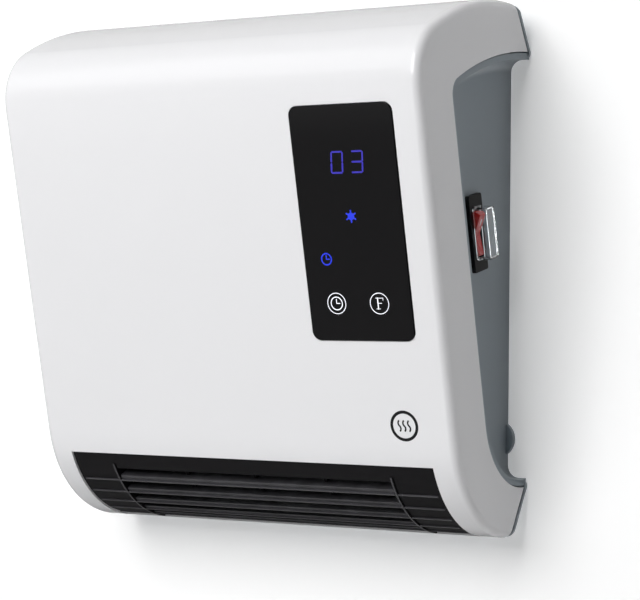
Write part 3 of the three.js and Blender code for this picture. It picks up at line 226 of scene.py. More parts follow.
# Black nylon of the switch's body: a low satin.
BLACK_NYLON = Finish("black_nylon", "#0F0F11", 0.4, specular=0.18, grain_mm=0.5, relief=0.012)
# Tinted polycarbonate rocker: glossy, with a faint painted glow that stands in for the light coming through
# the clear cap.
RED_POLYCARBONATE = Finish("red_polycarbonate_painted_glow", "#C4120B", 0.18, coat=0.1, specular=0.25,
                           glow=0.06, grain_mm=2, relief=0.004, mottle=0.06)
# Clear polycarbonate cap over the switch: see-through and slightly uneven.
CLEAR_CAP = Finish("clear_polycarbonate", "#EEF2F4", 0.05, specular=0.2, transmission=1.0,
                   grain_mm=5, relief=0.02, mottle=0.0, roughness_spread=0.02)
# Printed white marking ink: matt and opaque.
WHITE_INK = Finish("white_ink", "#E8E8EA", 0.5, grain_mm=0.4, relief=0.003)
# Black pad-printed ink on the shell: thin, matt and even.
BLACK_INK = Finish("black_ink", "#0F0E10", 0.45, specular=0.2, grain_mm=0.4, relief=0.003)
# Light-emitting display segments behind the acrylic: dim lights with an even face.
VIOLET_LIGHT = Finish("violet_display_light", "#2F25B8", 0.3, glow=0.12, relief=0.0, mottle=0.0)
BLUE_LIGHT = Finish("blue_indicator_light", "#0C2EE0", 0.3, glow=0.25, relief=0.0, mottle=0.0)
PALE_LIGHT = Finish("backlit_key_print", "#E9EAF2", 0.3, glow=0.5, relief=0.0, mottle=0.0)
# Zinc-plated steel: a cool, slightly brushed metal.
ZINC_STEEL = Finish("zinc_plated_steel", "#B4B9BC", 0.34, metallic=1.0, grain=Grain.BRUSHED, grain_mm=0.35,
                    relief=0.008, mottle=0.08)
# Cold-drawn screw steel: an even grey shine.
SCREW_STEEL = Finish("screw_steel", "#A9AFB3", 0.3, metallic=1.0, grain_mm=0.3, relief=0.006)
# Rolled brass tabs: a warm shine with fine lines along the strip.
BRASS = Finish("rolled_brass", "#C8A14A", 0.3, metallic=1.0, grain=Grain.BRUSHED, grain_mm=0.3, relief=0.005)
# Enamelled copper wire in one layer of a winding: brown red, with the wires' ridges.
COPPER_WINDING = Finish("enamelled_copper", "#A6532C", 0.35, metallic=1.0, grain=Grain.WOUND, grain_mm=0.5,
                        relief=0.08, mottle=0.2, mottle_mm=4)
# Rolled aluminium strip: a pale shine with fine lines.
ALUMINIUM = Finish("rolled_aluminium", "#C5C8CA", 0.32, metallic=1.0, grain=Grain.BRUSHED, grain_mm=0.4,
                   relief=0.01)
# Glass-reinforced epoxy under green solder mask, with the weave's faint patches.
GREEN_EPOXY = Finish("green_epoxy_board", "#1E5A39", 0.35, grain_mm=1.2, relief=0.01, mottle=0.25,
                     mottle_mm=3)
# Heat-proof moulded polyester of the element's holders: dark and dry-looking.
HEAT_POLYESTER = Finish("heatproof_polyester", "#2A2A2D", 0.55, grain_mm=0.6, relief=0.02)
# Natural moulded polypropylene of the air duct: milky and a little waxy.
DUCT_POLYPROPYLENE = Finish("natural_polypropylene", "#D5D5D0", 0.48, grain_mm=0.8, relief=0.015, mottle=0.05)
# Moulded rubber: matt, with a bloom in patches.
RUBBER = Finish("moulded_rubber", "#232325", 0.7, grain_mm=0.4, relief=0.02, mottle=0.12)
# Foam tape: matt, with open pores.
FOAM_TAPE = Finish("foam_tape", "#2C2C2F", 0.9, grain_mm=0.5, relief=0.06)
# White moulded nylon of plugs and terminal blocks: a warm white satin.
WHITE_NYLON = Finish("white_nylon", "#E5E3DB", 0.45, grain_mm=0.6, relief=0.01)
# Epoxy-filled capacitor case: yellow, with a low shine.
YELLOW_EPOXY = Finish("yellow_capacitor_case", "#D0A02A", 0.4, grain_mm=0.9, relief=0.01)
# Moulded polyester of the relays' cases: blue, with a low shine.
BLUE_POLYESTER = Finish("blue_relay_case", "#1F4F9C", 0.36, grain_mm=0.7, relief=0.01)
# Silicone sleeves of the wires: soft-looking, with a dull shine.
WHITE_SILICONE = Finish("white_silicone", "#DCDCDC", 0.5, grain_mm=0.5, relief=0.01)
RED_SILICONE = Finish("red_silicone", "#A02020", 0.5, grain_mm=0.5, relief=0.01)

# The finish of each of the record's material slots.
SLOT_FINISHES = {
    "shell_white": GLOSS_ABS,
    "casing_grey": GREY_ABS,
    "grille_black": BLACK_PA,
    "window_black": BLACK_ACRYLIC,
    "switch_black": BLACK_NYLON,
    "rocker_red": RED_POLYCARBONATE,
    "cover_clear": CLEAR_CAP,
    "brass": BRASS,
    "steel": SCREW_STEEL,
    "zinc_plate": ZINC_STEEL,
    "copper_wire": COPPER_WINDING,
    "aluminium": ALUMINIUM,
    "board_green": GREEN_EPOXY,
    "heat_plastic": HEAT_POLYESTER,
    "duct_plastic": DUCT_POLYPROPYLENE,
    "fan_plastic": BLACK_PA,
    "rubber": RUBBER,
    "tape": FOAM_TAPE,
    "led_blue": BLUE_LIGHT,
    "nylon_white": WHITE_NYLON,
    "capacitor_yellow": YELLOW_EPOXY,
    "relay_blue": BLUE_POLYESTER,
    "wire_white": WHITE_SILICONE,
    "wire_red": RED_SILICONE,
}


# ------------------------------------------------------------------------------------------------
# Modelling moves


def deselect_all() -> None:
    """Leaves nothing selected and no edit mode open."""
    if bpy.context.mode != "OBJECT":
        bpy.ops.object.mode_set(mode="OBJECT")
    bpy.ops.object.select_all(action="DESELECT")


def pick(*pieces: Piece) -> None:
    """Selects the pieces and makes the first one active.

    Args:
        pieces: The objects to select.
    """
    deselect_all()
    for piece in pieces:
        piece.select_set(True)
    bpy.context.view_layer.objects.active = pieces[0]


def start_edit(piece: Piece) -> bmesh.types.BMesh:
    """Opens edit mode on a piece with nothing selected.

    Args:
        piece: The object to edit.

    Returns:
        Its edit mesh.
    """
    pick(piece)
    bpy.ops.object.mode_set(mode="EDIT")
    bpy.ops.mesh.select_mode(type="VERT")
    bpy.ops.mesh.select_all(action="DESELECT")
    return bmesh.from_edit_mesh(piece.data)


def apply_modifier(piece: Piece, kind: str, **settings: object) -> None:
    """Adds a modifier with its settings and applies it.

    Args:
        piece: The object that gets it.
        kind: The modifier's type.
        settings: Its properties.
    """
    modifier = piece.modifiers.new(kind.title(), kind)
    for name, value in settings.items():
        setattr(modifier, name, value)
    pick(piece)
    bpy.ops.object.modifier_apply(modifier=modifier.name)


def combine(piece: Piece, tool: Piece, how: str) -> Piece:
    """Joins or cuts a piece with another and throws the other away.

    Args:
        piece: The piece that stays.
        tool: The piece that it is combined with.
        how: UNION, DIFFERENCE or INTERSECT.

    Returns:
        The piece.
    """
    apply_modifier(piece, "BOOLEAN", object=tool, operation=how, solver="EXACT")
    bpy.data.objects.remove(tool)
    return piece


def cut(piece: Piece, *tools: Piece) -> Piece:
    """Cuts each tool out of the piece and returns it."""
    for tool in tools:
        combine(piece, tool, "DIFFERENCE")
    return piece


def fuse(piece: Piece, *others: Piece) -> Piece:
    """Joins the others to the piece and returns it."""
    for other in others:
        combine(piece, other, "UNION")
    return piece


def smooth(piece: Piece) -> Piece:
    """Shades a piece smooth, with its flat faces kept flat.

    Args:
        piece: The piece to shade.

    Returns:
        The piece.
    """
    pick(piece)
    bpy.ops.object.shade_smooth_by_angle(angle=SHADE_ANGLE)
    apply_modifier(piece, "WEIGHTED_NORMAL", keep_sharp=True, weight=80)
    return piece


def soften(piece: Piece, width: float, segments: int = 2, degrees: float = 40.0) -> Piece:
    """Rounds a piece's sharp edges and shades it.

    Args:
        piece: The piece to round.
        width: How far the rounding reaches from each edge.
        segments: Steps in the rounding.
        degrees: Edges flatter than this stay as they are.

    Returns:
        The piece.
    """
    apply_modifier(piece, "BEVEL", width=width * MM, segments=segments, limit_method="ANGLE",
                   angle_limit=math.radians(degrees), use_clamp_overlap=True, miter_outer="MITER_ARC")
    return smooth(piece)


def settle(piece: Piece, place: Matrix) -> Piece:
    """Moves a piece's mesh to its place and leaves its object at the origin.

    Args:
        piece: The piece to move.
        place: Where its own frame lies in the heater's.

    Returns:
        The piece.
    """
    deselect_all()
    piece.data.transform(place @ piece.matrix_world)
    piece.matrix_world = Matrix.Identity(4)
    piece.data.update()
    return piece


def spoke(degrees: float) -> Vector:
    """Returns the unit vector at an angle from the first axis of a plane."""
    angle = math.radians(degrees)
    return Vector((math.cos(angle), math.sin(angle)))


def raise_face(low: float, high: float) -> None:
    """Pulls the selected flat face into a solid between two heights and leaves edit mode.

    Args:
        low: The lower height.
        high: The upper height.
    """
    bpy.ops.transform.translate(value=(0, 0, low * MM))
    bpy.ops.mesh.extrude_region_move(TRANSFORM_OT_translate={"value": (0, 0, (high - low) * MM)})
    bpy.ops.mesh.select_all(action="SELECT")
    bpy.ops.mesh.normals_make_consistent(inside=False)
    bpy.ops.object.mode_set(mode="OBJECT")


class Pen:
    """Draws a closed outline in a plane by moving a point, and pulls it into a solid."""

    def __init__(self, name: str, x: float, y: float) -> None:
        """Puts the point down.

        Args:
            name: The name of the piece that the outline becomes.
            x: Where the outline starts, across.
            y: Where the outline starts, up.
        """
        deselect_all()
        bpy.ops.mesh.primitive_plane_add(size=MM)
        self.piece = bpy.context.object
        self.piece.name = name
        self.at = Vector((x, y))
        bpy.ops.object.mode_set(mode="EDIT")
        bpy.ops.mesh.select_mode(type="VERT")
        bpy.ops.mesh.select_all(action="SELECT")
        bpy.ops.mesh.merge(type="CENTER")
        bpy.ops.transform.translate(value=(x * MM, y * MM, 0))

    def line(self, x: float, y: float) -> "Pen":
        """Draws a straight line to a point and returns the pen."""
        step = Vector((x, y)) - self.at
        if step.length > HAIR:
            bpy.ops.mesh.extrude_region_move(TRANSFORM_OT_translate={"value": (step.x * MM, step.y * MM, 0)})
            self.at = Vector((x, y))
        return self

    def arc(self, x: float, y: float, degrees: float, steps: int) -> "Pen":
        """Draws an arc about a centre, anticlockwise if degrees is above 0, and returns the pen."""
        bpy.ops.mesh.spin(steps=steps, angle=-math.radians(degrees), center=(x * MM, y * MM, 0),
                          axis=(0, 0, 1))
        arm = self.at - Vector((x, y))
        arm.rotate(Matrix.Rotation(math.radians(degrees), 2))
        self.at = Vector((x, y)) + arm
        return self

    def pull(self, low: float, high: float) -> Piece:
        """Closes the outline and pulls it into a solid between two heights.

        Args:
            low: The lower height.
            high: The upper height.

        Returns:
            The solid.
        """
        bpy.ops.mesh.select_all(action="SELECT")
        bpy.ops.mesh.remove_doubles(threshold=HAIR * MM)
        bpy.ops.mesh.edge_face_add()
        raise_face(low, high)
        return self.piece


def round_rim(piece: Piece, height: float, width: float, segments: int) -> Piece:
    """Rounds the edges that lie at one height of a piece.

    Args:
        piece: The piece, before it is settled.
        height: Where the edges lie.
        width: How far the rounding reaches.
        segments: Steps in the rounding.

    Returns:
        The piece.
    """
    mesh = start_edit(piece)
    for vertex in mesh.verts:
        vertex.select = abs(vertex.co.z - height * MM) < NEAR * MM
    for edge in mesh.edges:
        edge.select = all(v.select for v in edge.verts)
    bmesh.update_edit_mesh(piece.data)
    bpy.ops.mesh.select_mode(type="EDGE")
    bpy.ops.mesh.bevel(offset=width * MM, segments=segments, affect="EDGES", clamp_overlap=False)
    bpy.ops.object.mode_set(mode="OBJECT")
    return piece


def rounded_plate(
    name: str, width: float, length: float, radius: float, low: float, high: float, segments: int = 6
) -> Piece:
    """Makes a plate with rounded corners, centred across its own frame.

    Args:
        name: The piece's name.
        width: Size across.
        length: Size up.
        radius: Radius of the corners.
        low: Height of its back.
        high: Height of its front.
        segments: Steps in each corner.

    Returns:
        The plate.
    """
    deselect_all()
    bpy.ops.mesh.primitive_plane_add(size=MM)
    piece = bpy.context.object
    piece.name = name
    bpy.ops.object.mode_set(mode="EDIT")
    bpy.ops.mesh.select_all(action="SELECT")
    bpy.ops.transform.resize(value=(width, length, 1))
    bpy.ops.mesh.bevel(offset=radius * MM, segments=segments, affect="VERTICES")
    bpy.ops.mesh.select_all(action="SELECT")
    raise_face(low, high)
    return piece


def bar(name: str, low: Triple, high: Triple) -> Piece:
    """Makes a straight bar between two corners.

    Args:
        name: The piece's name.
        low: Its lowest corner.
        high: Its highest corner.

    Returns:
        The bar.
    """
    deselect_all()
    size = [(b - a) * MM for a, b in zip(low, high)]
    middle = [(a + b) / 2 * MM for a, b in zip(low, high)]
    bpy.ops.mesh.primitive_cube_add(size=1, location=middle, scale=size)
    piece = bpy.context.object
    piece.name = name
    return settle(piece, Matrix.Identity(4))


def rod(name: str, start: Triple, end: Triple, radius: float, sides: int = 32) -> Piece:
    """Makes a round rod from one point to another.

    Args:
        name: The piece's name.
        start: The middle of one end.
        end: The middle of the other end.
        radius: Its radius.
        sides: Sides of its section.

    Returns:
        The rod.
    """
    deselect_all()
    run = Vector(end) - Vector(start)
    bpy.ops.mesh.primitive_cylinder_add(
        vertices=sides,
        radius=radius * MM,
        depth=run.length * MM,
        location=(Vector(start) + Vector(end)) / 2 * MM,
        rotation=run.to_track_quat("Z", "Y").to_euler(),
    )
    piece = bpy.context.object
    piece.name = name
    return settle(piece, Matrix.Identity(4))


def copies(piece: Piece, places: list[Matrix]) -> Piece:
    """Copies a piece to each place and makes one piece of them all.

    Args:
        piece: The model that is copied, which is used up.
        places: Where each copy goes.

    Returns:
        The joined copies.
    """
    made = []
    for place in places:
        copy = piece.copy()
        copy.data = piece.data.copy()
        bpy.context.collection.objects.link(copy)
        made.append(settle(copy, place))
    name = piece.name
    bpy.data.objects.remove(piece)
    pick(*made)
    if len(made) > 1:
        bpy.ops.object.join()
    joined = bpy.context.object
    joined.name = name
    return joined


def frame_at(origin: Triple, right: Vector, up: Vector, out: Vector) -> Matrix:
    """Builds the place of a frame from its origin above the foot and its three directions.

    Args:
        origin: The frame's origin, with its height measured from the heater's lowest point.
        right: Direction of its X.
        up: Direction of its Y.
        out: Direction of its Z.

    Returns:
        The matrix that takes the frame's own points, in metres, to the heater's.
    """
    turn = Matrix((right, up, out)).transposed().to_4x4()
    spot = Vector((origin[0] * MM, origin[1] * MM, origin[2] * MM + FOOT))
    return Matrix.Translation(spot) @ turn


ACROSS = frame_at((0, 0, 0), Vector((0, 1, 0)), Vector((0, 0, 1)), Vector((1, 0, 0)))
ABOVE_FOOT = Matrix.Translation((0, 0, FOOT))


# ------------------------------------------------------------------------------------------------
# The heater's section


@dataclass(frozen=True)
class Section:
    """A side outline of crown arc, corner, straight front and bottom arc, as (y, height)."""

    crown_y: float
    crown_z: float
    crown_radius: float
    corner_radius: float
    bottom_radius: float
    depth: float = 0.0  # of the straight front, behind the shell's front
    floor: float = 0.0
    foot_y: float = -64.0  # where the shell's front plane meets the level of the lowest point
    steps: int = 14

    def inset(self, distance: float) -> "Section":
        """Returns the outline that lies a distance inside this one."""
        return replace(
            self,
            crown_radius=self.crown_radius - distance,
            corner_radius=self.corner_radius - distance,
            bottom_radius=self.bottom_radius - distance,
            depth=self.depth + distance,
            floor=self.floor + distance,
        )

    def front_y(self, depth: float, height: float) -> float:
        """Returns y of the plane that lies a depth behind the shell's front, at a height."""
        return self.foot_y + (depth - height * math.sin(TILT)) / math.cos(TILT)

    def corner(self) -> Vector:
        """Returns the centre of the arc between crown and front."""
        crown = Vector((self.crown_y, self.crown_z))
        up = Vector((-math.sin(TILT), math.cos(TILT)))
        foot = Vector((self.front_y(self.depth + self.corner_radius, 0), 0))
        away = foot - crown
        reach = self.crown_radius - self.corner_radius
        along = away.dot(up)
        return foot + up * (-along + math.sqrt(along**2 - away.length_squared + reach**2))

    def bottom(self) -> Vector:
        """Returns the centre of the bottom arc."""
        height = self.floor + self.bottom_radius
        return Vector((self.front_y(self.depth + self.bottom_radius, height), height))

    def solid(self, name: str, low: float, high: float, rear_y: float = REACH) -> Piece:
        """Draws the outline and pulls it from one side of the heater to the other.

        Args:
            name: The piece's name.
            low: Where it starts, across the heater.
            high: Where it ends.
            rear_y: Where its straight rear lies.

        Returns:
            The solid, in the heater's frame.
        """
        crown = Vector((self.crown_y, self.crown_z))
        corner, bottom = self.corner(), self.bottom()
        first = math.degrees(math.acos((rear_y - crown.x) / self.crown_radius))
        meet = math.degrees(math.atan2(corner.y - crown.y, corner.x - crown.x))
        front = 180 + math.degrees(TILT)
        last = 360 - math.degrees(math.acos((rear_y - bottom.x) / self.bottom_radius))
        pen = Pen(name, *(crown + self.crown_radius * spoke(first)))
        pen.arc(*crown, meet - first, self.steps)
        pen.arc(*corner, front - meet, self.steps)
        pen.line(*(bottom + self.bottom_radius * spoke(front)))
        pen.arc(*bottom, last - front, 2 * self.steps)
        return pen.pull(low, high)


WALL = 2.5  # thickness of the shell and of the casing
FIT = 0.3  # clearance wherever one piece seats on another
HALF = 122.0
HEIGHT = 262.0
EDGE_RADIUS = 4.0  # between the front and the side cheeks
RIM_TOP = HEIGHT - 22.3  # where the rear face is cut back to the crown
RIM_BOTTOM = 24.2
RIM_SETBACK = 13.5
RIM_LEAN = math.atan2(RIM_SETBACK, HEIGHT - RIM_TOP)
FLANGE = 1.8  # thickness of the casing's flange behind the shell
REVEAL = 1.7  # the dark gap between the two
FLANGE_RADIUS = 3.0
LIP_GAP = 0.6  # the dark line round that edge
LIP = 3.7  # grey edge that shows round the side window
FLOOR_X = HALF - 11  # the recessed side wall
INNER_X = FLOOR_X - WALL
HANG = 192.0  # height of the wall bracket's middle
BODY = Section(crown_y=-22.0, crown_z=102.0, crown_radius=160.0, corner_radius=28.0, bottom_radius=61.0)
SIDE_CROWN_Y = 11.5
SIDE_CROWN_RADIUS = 196.0
SIDE_WINDOW = Section(
    crown_y=SIDE_CROWN_Y,
    crown_z=RIM_TOP - math.sqrt(SIDE_CROWN_RADIUS**2 - SIDE_CROWN_Y**2),  # so that it ends at the rim
    crown_radius=SIDE_CROWN_RADIUS,
    corner_radius=9.0,
    bottom_radius=40.0,
    depth=31.0,
    floor=RIM_BOTTOM,
)
RECESS = replace(SIDE_WINDOW.inset(LIP), corner_radius=SIDE_WINDOW.corner_radius)
# The four case screws: across, height and depth of the joint between casing and shell.
CASE_SCREWS = ((105.8, 47.5, 12.0), (-105.8, 47.5, 12.0), (99.0, 213.2, 38.0), (-99.0, 213.2, 38.0))
SCREW_SHELF = 4.0  # casing left under a case screw's head
SCREW_GRIP = 16.0  # how far a case screw may run into the shell's post
PILOT_RADIUS = 1.8
BOARD_DEPTH = 8.0  # of the display board's face behind the front
BOARD_POSTS = (22.9, 49.9)  # across and along from the window's middle


def ahead_of_rear(name: str, depth: float) -> Piece:
    """Makes the block of all that lies a depth in front of the rear face and its cut-back edges.

    Args:
        name: The piece's name.
        depth: How far in front.

    Returns:
        The block, before it is settled.
    """
    far = HEIGHT + REACH
    shift = depth * math.tan(RIM_LEAN / 2)
    low, high = RIM_BOTTOM + shift, RIM_TOP - shift
    pen = Pen(name, -far, -far)
    pen.line(-depth - (low + far) * math.tan(RIM_LEAN), -far)
    pen.line(-depth, low)
    pen.line(-depth, high)
    pen.line(-depth - (far - high) * math.tan(RIM_LEAN), far)
    pen.line(-far, far)
    return settle(pen.pull(-HALF - REACH, HALF + REACH), ACROSS)


def outlet_band(name: str, outer: float, inner: float, start: float, end: float, low: float, high: float,
                steps: int = 24) -> Piece:
    """Makes a curved band along the bottom arc.

    Args:
        name: The piece's name.
        outer: Depth of its outer face inside the shell's surface.
        inner: Depth of its inner face.
        start: Where it starts along the arc, from where the arc leaves the front.
        end: Where it ends.
        low: Where it starts across the heater.
        high: Where it ends.
        steps: Steps in each arc.

    Returns:
        The band, in the heater's frame.
    """
    centre = BODY.bottom()
    first = math.degrees(math.pi + TILT + start / BODY.bottom_radius)
    sweep = math.degrees((end - start) / BODY.bottom_radius)
    pen = Pen(name, *(centre + (BODY.bottom_radius - outer) * spoke(first)))
    pen.arc(*centre, sweep, steps)
    pen.line(*(centre + (BODY.bottom_radius - inner) * spoke(first + sweep)))
    pen.arc(*centre, -sweep, steps)
    return settle(pen.pull(low, high), ACROSS)


# ------------------------------------------------------------------------------------------------
# Sub-assemblies


@dataclass
class SubAssembly:
    """Pieces that are modelled, dressed and hung on one body of the frame."""

    body: str = "casing"
    pieces: list[Piece] = field(default_factory=list)

    def hang(self, piece: Piece, finish: Finish, slot: str, replaces: tuple[str, ...] = ()) -> Piece:
        """Gives a piece its finish and hangs it on the frame.

        Args:
            piece: The finished mesh.
            finish: What it is made of.
            slot: The record's material slot; not used.
            replaces: The frame's nodes that it stands for.

        Returns:
            The piece.
        """
        piece.data.materials.clear()
        piece.data.materials.append(finish.material())
        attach(piece, self.body)
        if replaces:
            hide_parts(*replaces)
        self.pieces.append(piece)
        return piece

    def build(self) -> None:
        """Models the pieces. Each sub-assembly says how."""
        raise NotImplementedError

    def report(self) -> None:
        """Logs each piece with its faces."""
        for piece in self.pieces:
            LOG.info("%s: %s, %d faces", type(self).__name__, piece.name, len(piece.data.polygons))


@dataclass
class PanelFrame:
    """The frame that lies on the front at the touch window's centre: Y up the slope, Z out."""

    x: float = 78.6
    up: float = 154.8

    def matrix(self) -> Matrix:
        """Returns where the frame lies in the heater's."""
        origin = (self.x, BODY.foot_y - self.up * math.sin(TILT), self.up * math.cos(TILT))
        slope = Vector((0, -math.sin(TILT), math.cos(TILT)))
        out = Vector((0, -math.cos(TILT), -math.sin(TILT)))
        return frame_at(origin, Vector((1, 0, 0)), slope, out)


@dataclass
class FrontShell(SubAssembly):
    """The white wrap-round shell, open to the outlet, the side windows and the touch window."""

    window_ledge: float = 7.5
    pocket_depth: float = 1.7
    outlet_start: float = 11.8
    outlet_end: float = 75.0
    outlet_margin: float = 14.0
    soft_edge: float = 0.45
    seat_margin: float = 3.0
    seat_depth: float = 3.7
    board_post_radius: float = 2.6
    post_radius: float = 3.2

    def build(self) -> None:
        """Models the shell as a rounded block, hollowed and opened."""
        shell = BODY.solid("shell", -HALF, HALF)
        hollow = BODY.inset(WALL).solid("hollow", -HALF + WALL, HALF - WALL)
        for side in (-1, 1):
            round_rim(shell, side * HALF, EDGE_RADIUS, segments=8)
            round_rim(hollow, side * (HALF - WALL), EDGE_RADIUS - WALL, segments=4)
        cut(settle(shell, ACROSS), settle(hollow, ACROSS))
        combine(shell, ahead_of_rear("rear_cut", FLANGE + REVEAL), "INTERSECT")
        cut(shell, settle(SIDE_WINDOW.solid("side_cut", -HALF - REACH, HALF + REACH), ACROSS))
        reach = HALF - self.outlet_margin
        cut(shell, outlet_band("outlet_cut", -REACH / 2, REACH / 2, self.outlet_start, self.outlet_end,
                               -reach, reach))
        fuse(shell, self._window_seat(), *self._screw_posts())
        panel = PanelFrame().matrix()
        cut(shell, settle(self._window_plate("pocket", FIT, -self.pocket_depth, REACH), panel))
        cut(shell, settle(self._window_plate("hole", -self.window_ledge, -REACH, REACH), panel))
        soften(shell, self.soft_edge, segments=3)
        self.hang(shell, GLOSS_ABS, "shell_white", ("front_shell",))

    def _window_plate(self, name: str, margin: float, low: float, high: float) -> Piece:
        """Makes a plate as large as the touch window and a margin all round, in the window's frame."""
        radius = max(TouchWindow.radius + margin, TouchWindow.radius)
        width, length = TouchWindow.width + 2 * margin, TouchWindow.length + 2 * margin
        return rounded_plate(name, width, length, radius, low, high)

    def _window_seat(self) -> Piece:
        """Makes the thicker wall behind the window, with the display board's four posts.

        Returns:
            The seat, in the heater's frame.
        """
        seat = self._window_plate("seat", self.seat_margin, -self.seat_depth, -WALL / 2)
        across, along = BOARD_POSTS
        foot, face = -self.seat_depth + OVERLAP, -BOARD_DEPTH + FIT
        for x in (-across, across):
            for y in (-along, along):
                fuse(seat, rod("post", (x, y, foot), (x, y, face), self.board_post_radius, sides=24))
        return settle(seat, PanelFrame().matrix())

    def _screw_posts(self) -> list[Piece]:
        """Makes the four posts that the case screws grip.

        Returns:
            The posts, in the heater's frame.
        """
        posts = []
        for x, z, joint in CASE_SCREWS:
            # The upper posts end deeper, where the corner under the crown curves back.
            depth = WALL / 2 if z < BODY.corner().y else BODY.corner_radius / 3
            front = BODY.front_y(depth, z)
            post = rod("post", (x, -joint - FIT, z), (x, front, z), self.post_radius, sides=24)
            cut(post, rod("pilot", (x, REACH, z), (x, -joint - SCREW_GRIP, z), PILOT_RADIUS, sides=16))
            posts.append(settle(post, ABOVE_FOOT))
        return posts


# The strokes of the function key's letter: their ends from its middle, their width and their layer.
LETTER = (
    ("stem", (-0.8, -2.6), (-0.8, 2.6), 0.6, 0),
    ("foot", (-1.8, -2.6), (0.3, -2.6), 0.3, 1),
    ("top", (-1.8, 2.6), (2.1, 2.6), 0.3, 1),
    ("tip", (2.1, 1.6), (2.1, 2.6), 0.3, 2),
    ("arm", (-0.8, 0.1), (1.2, 0.1), 0.3, 1),
)


@dataclass(frozen=True)
class Dial:
    """A round clock sign with one hand up and one to the right."""

    radius: float  # of its middle line
    stroke: float
    hand_stroke: float
    hand_up: float
    hand_right: float


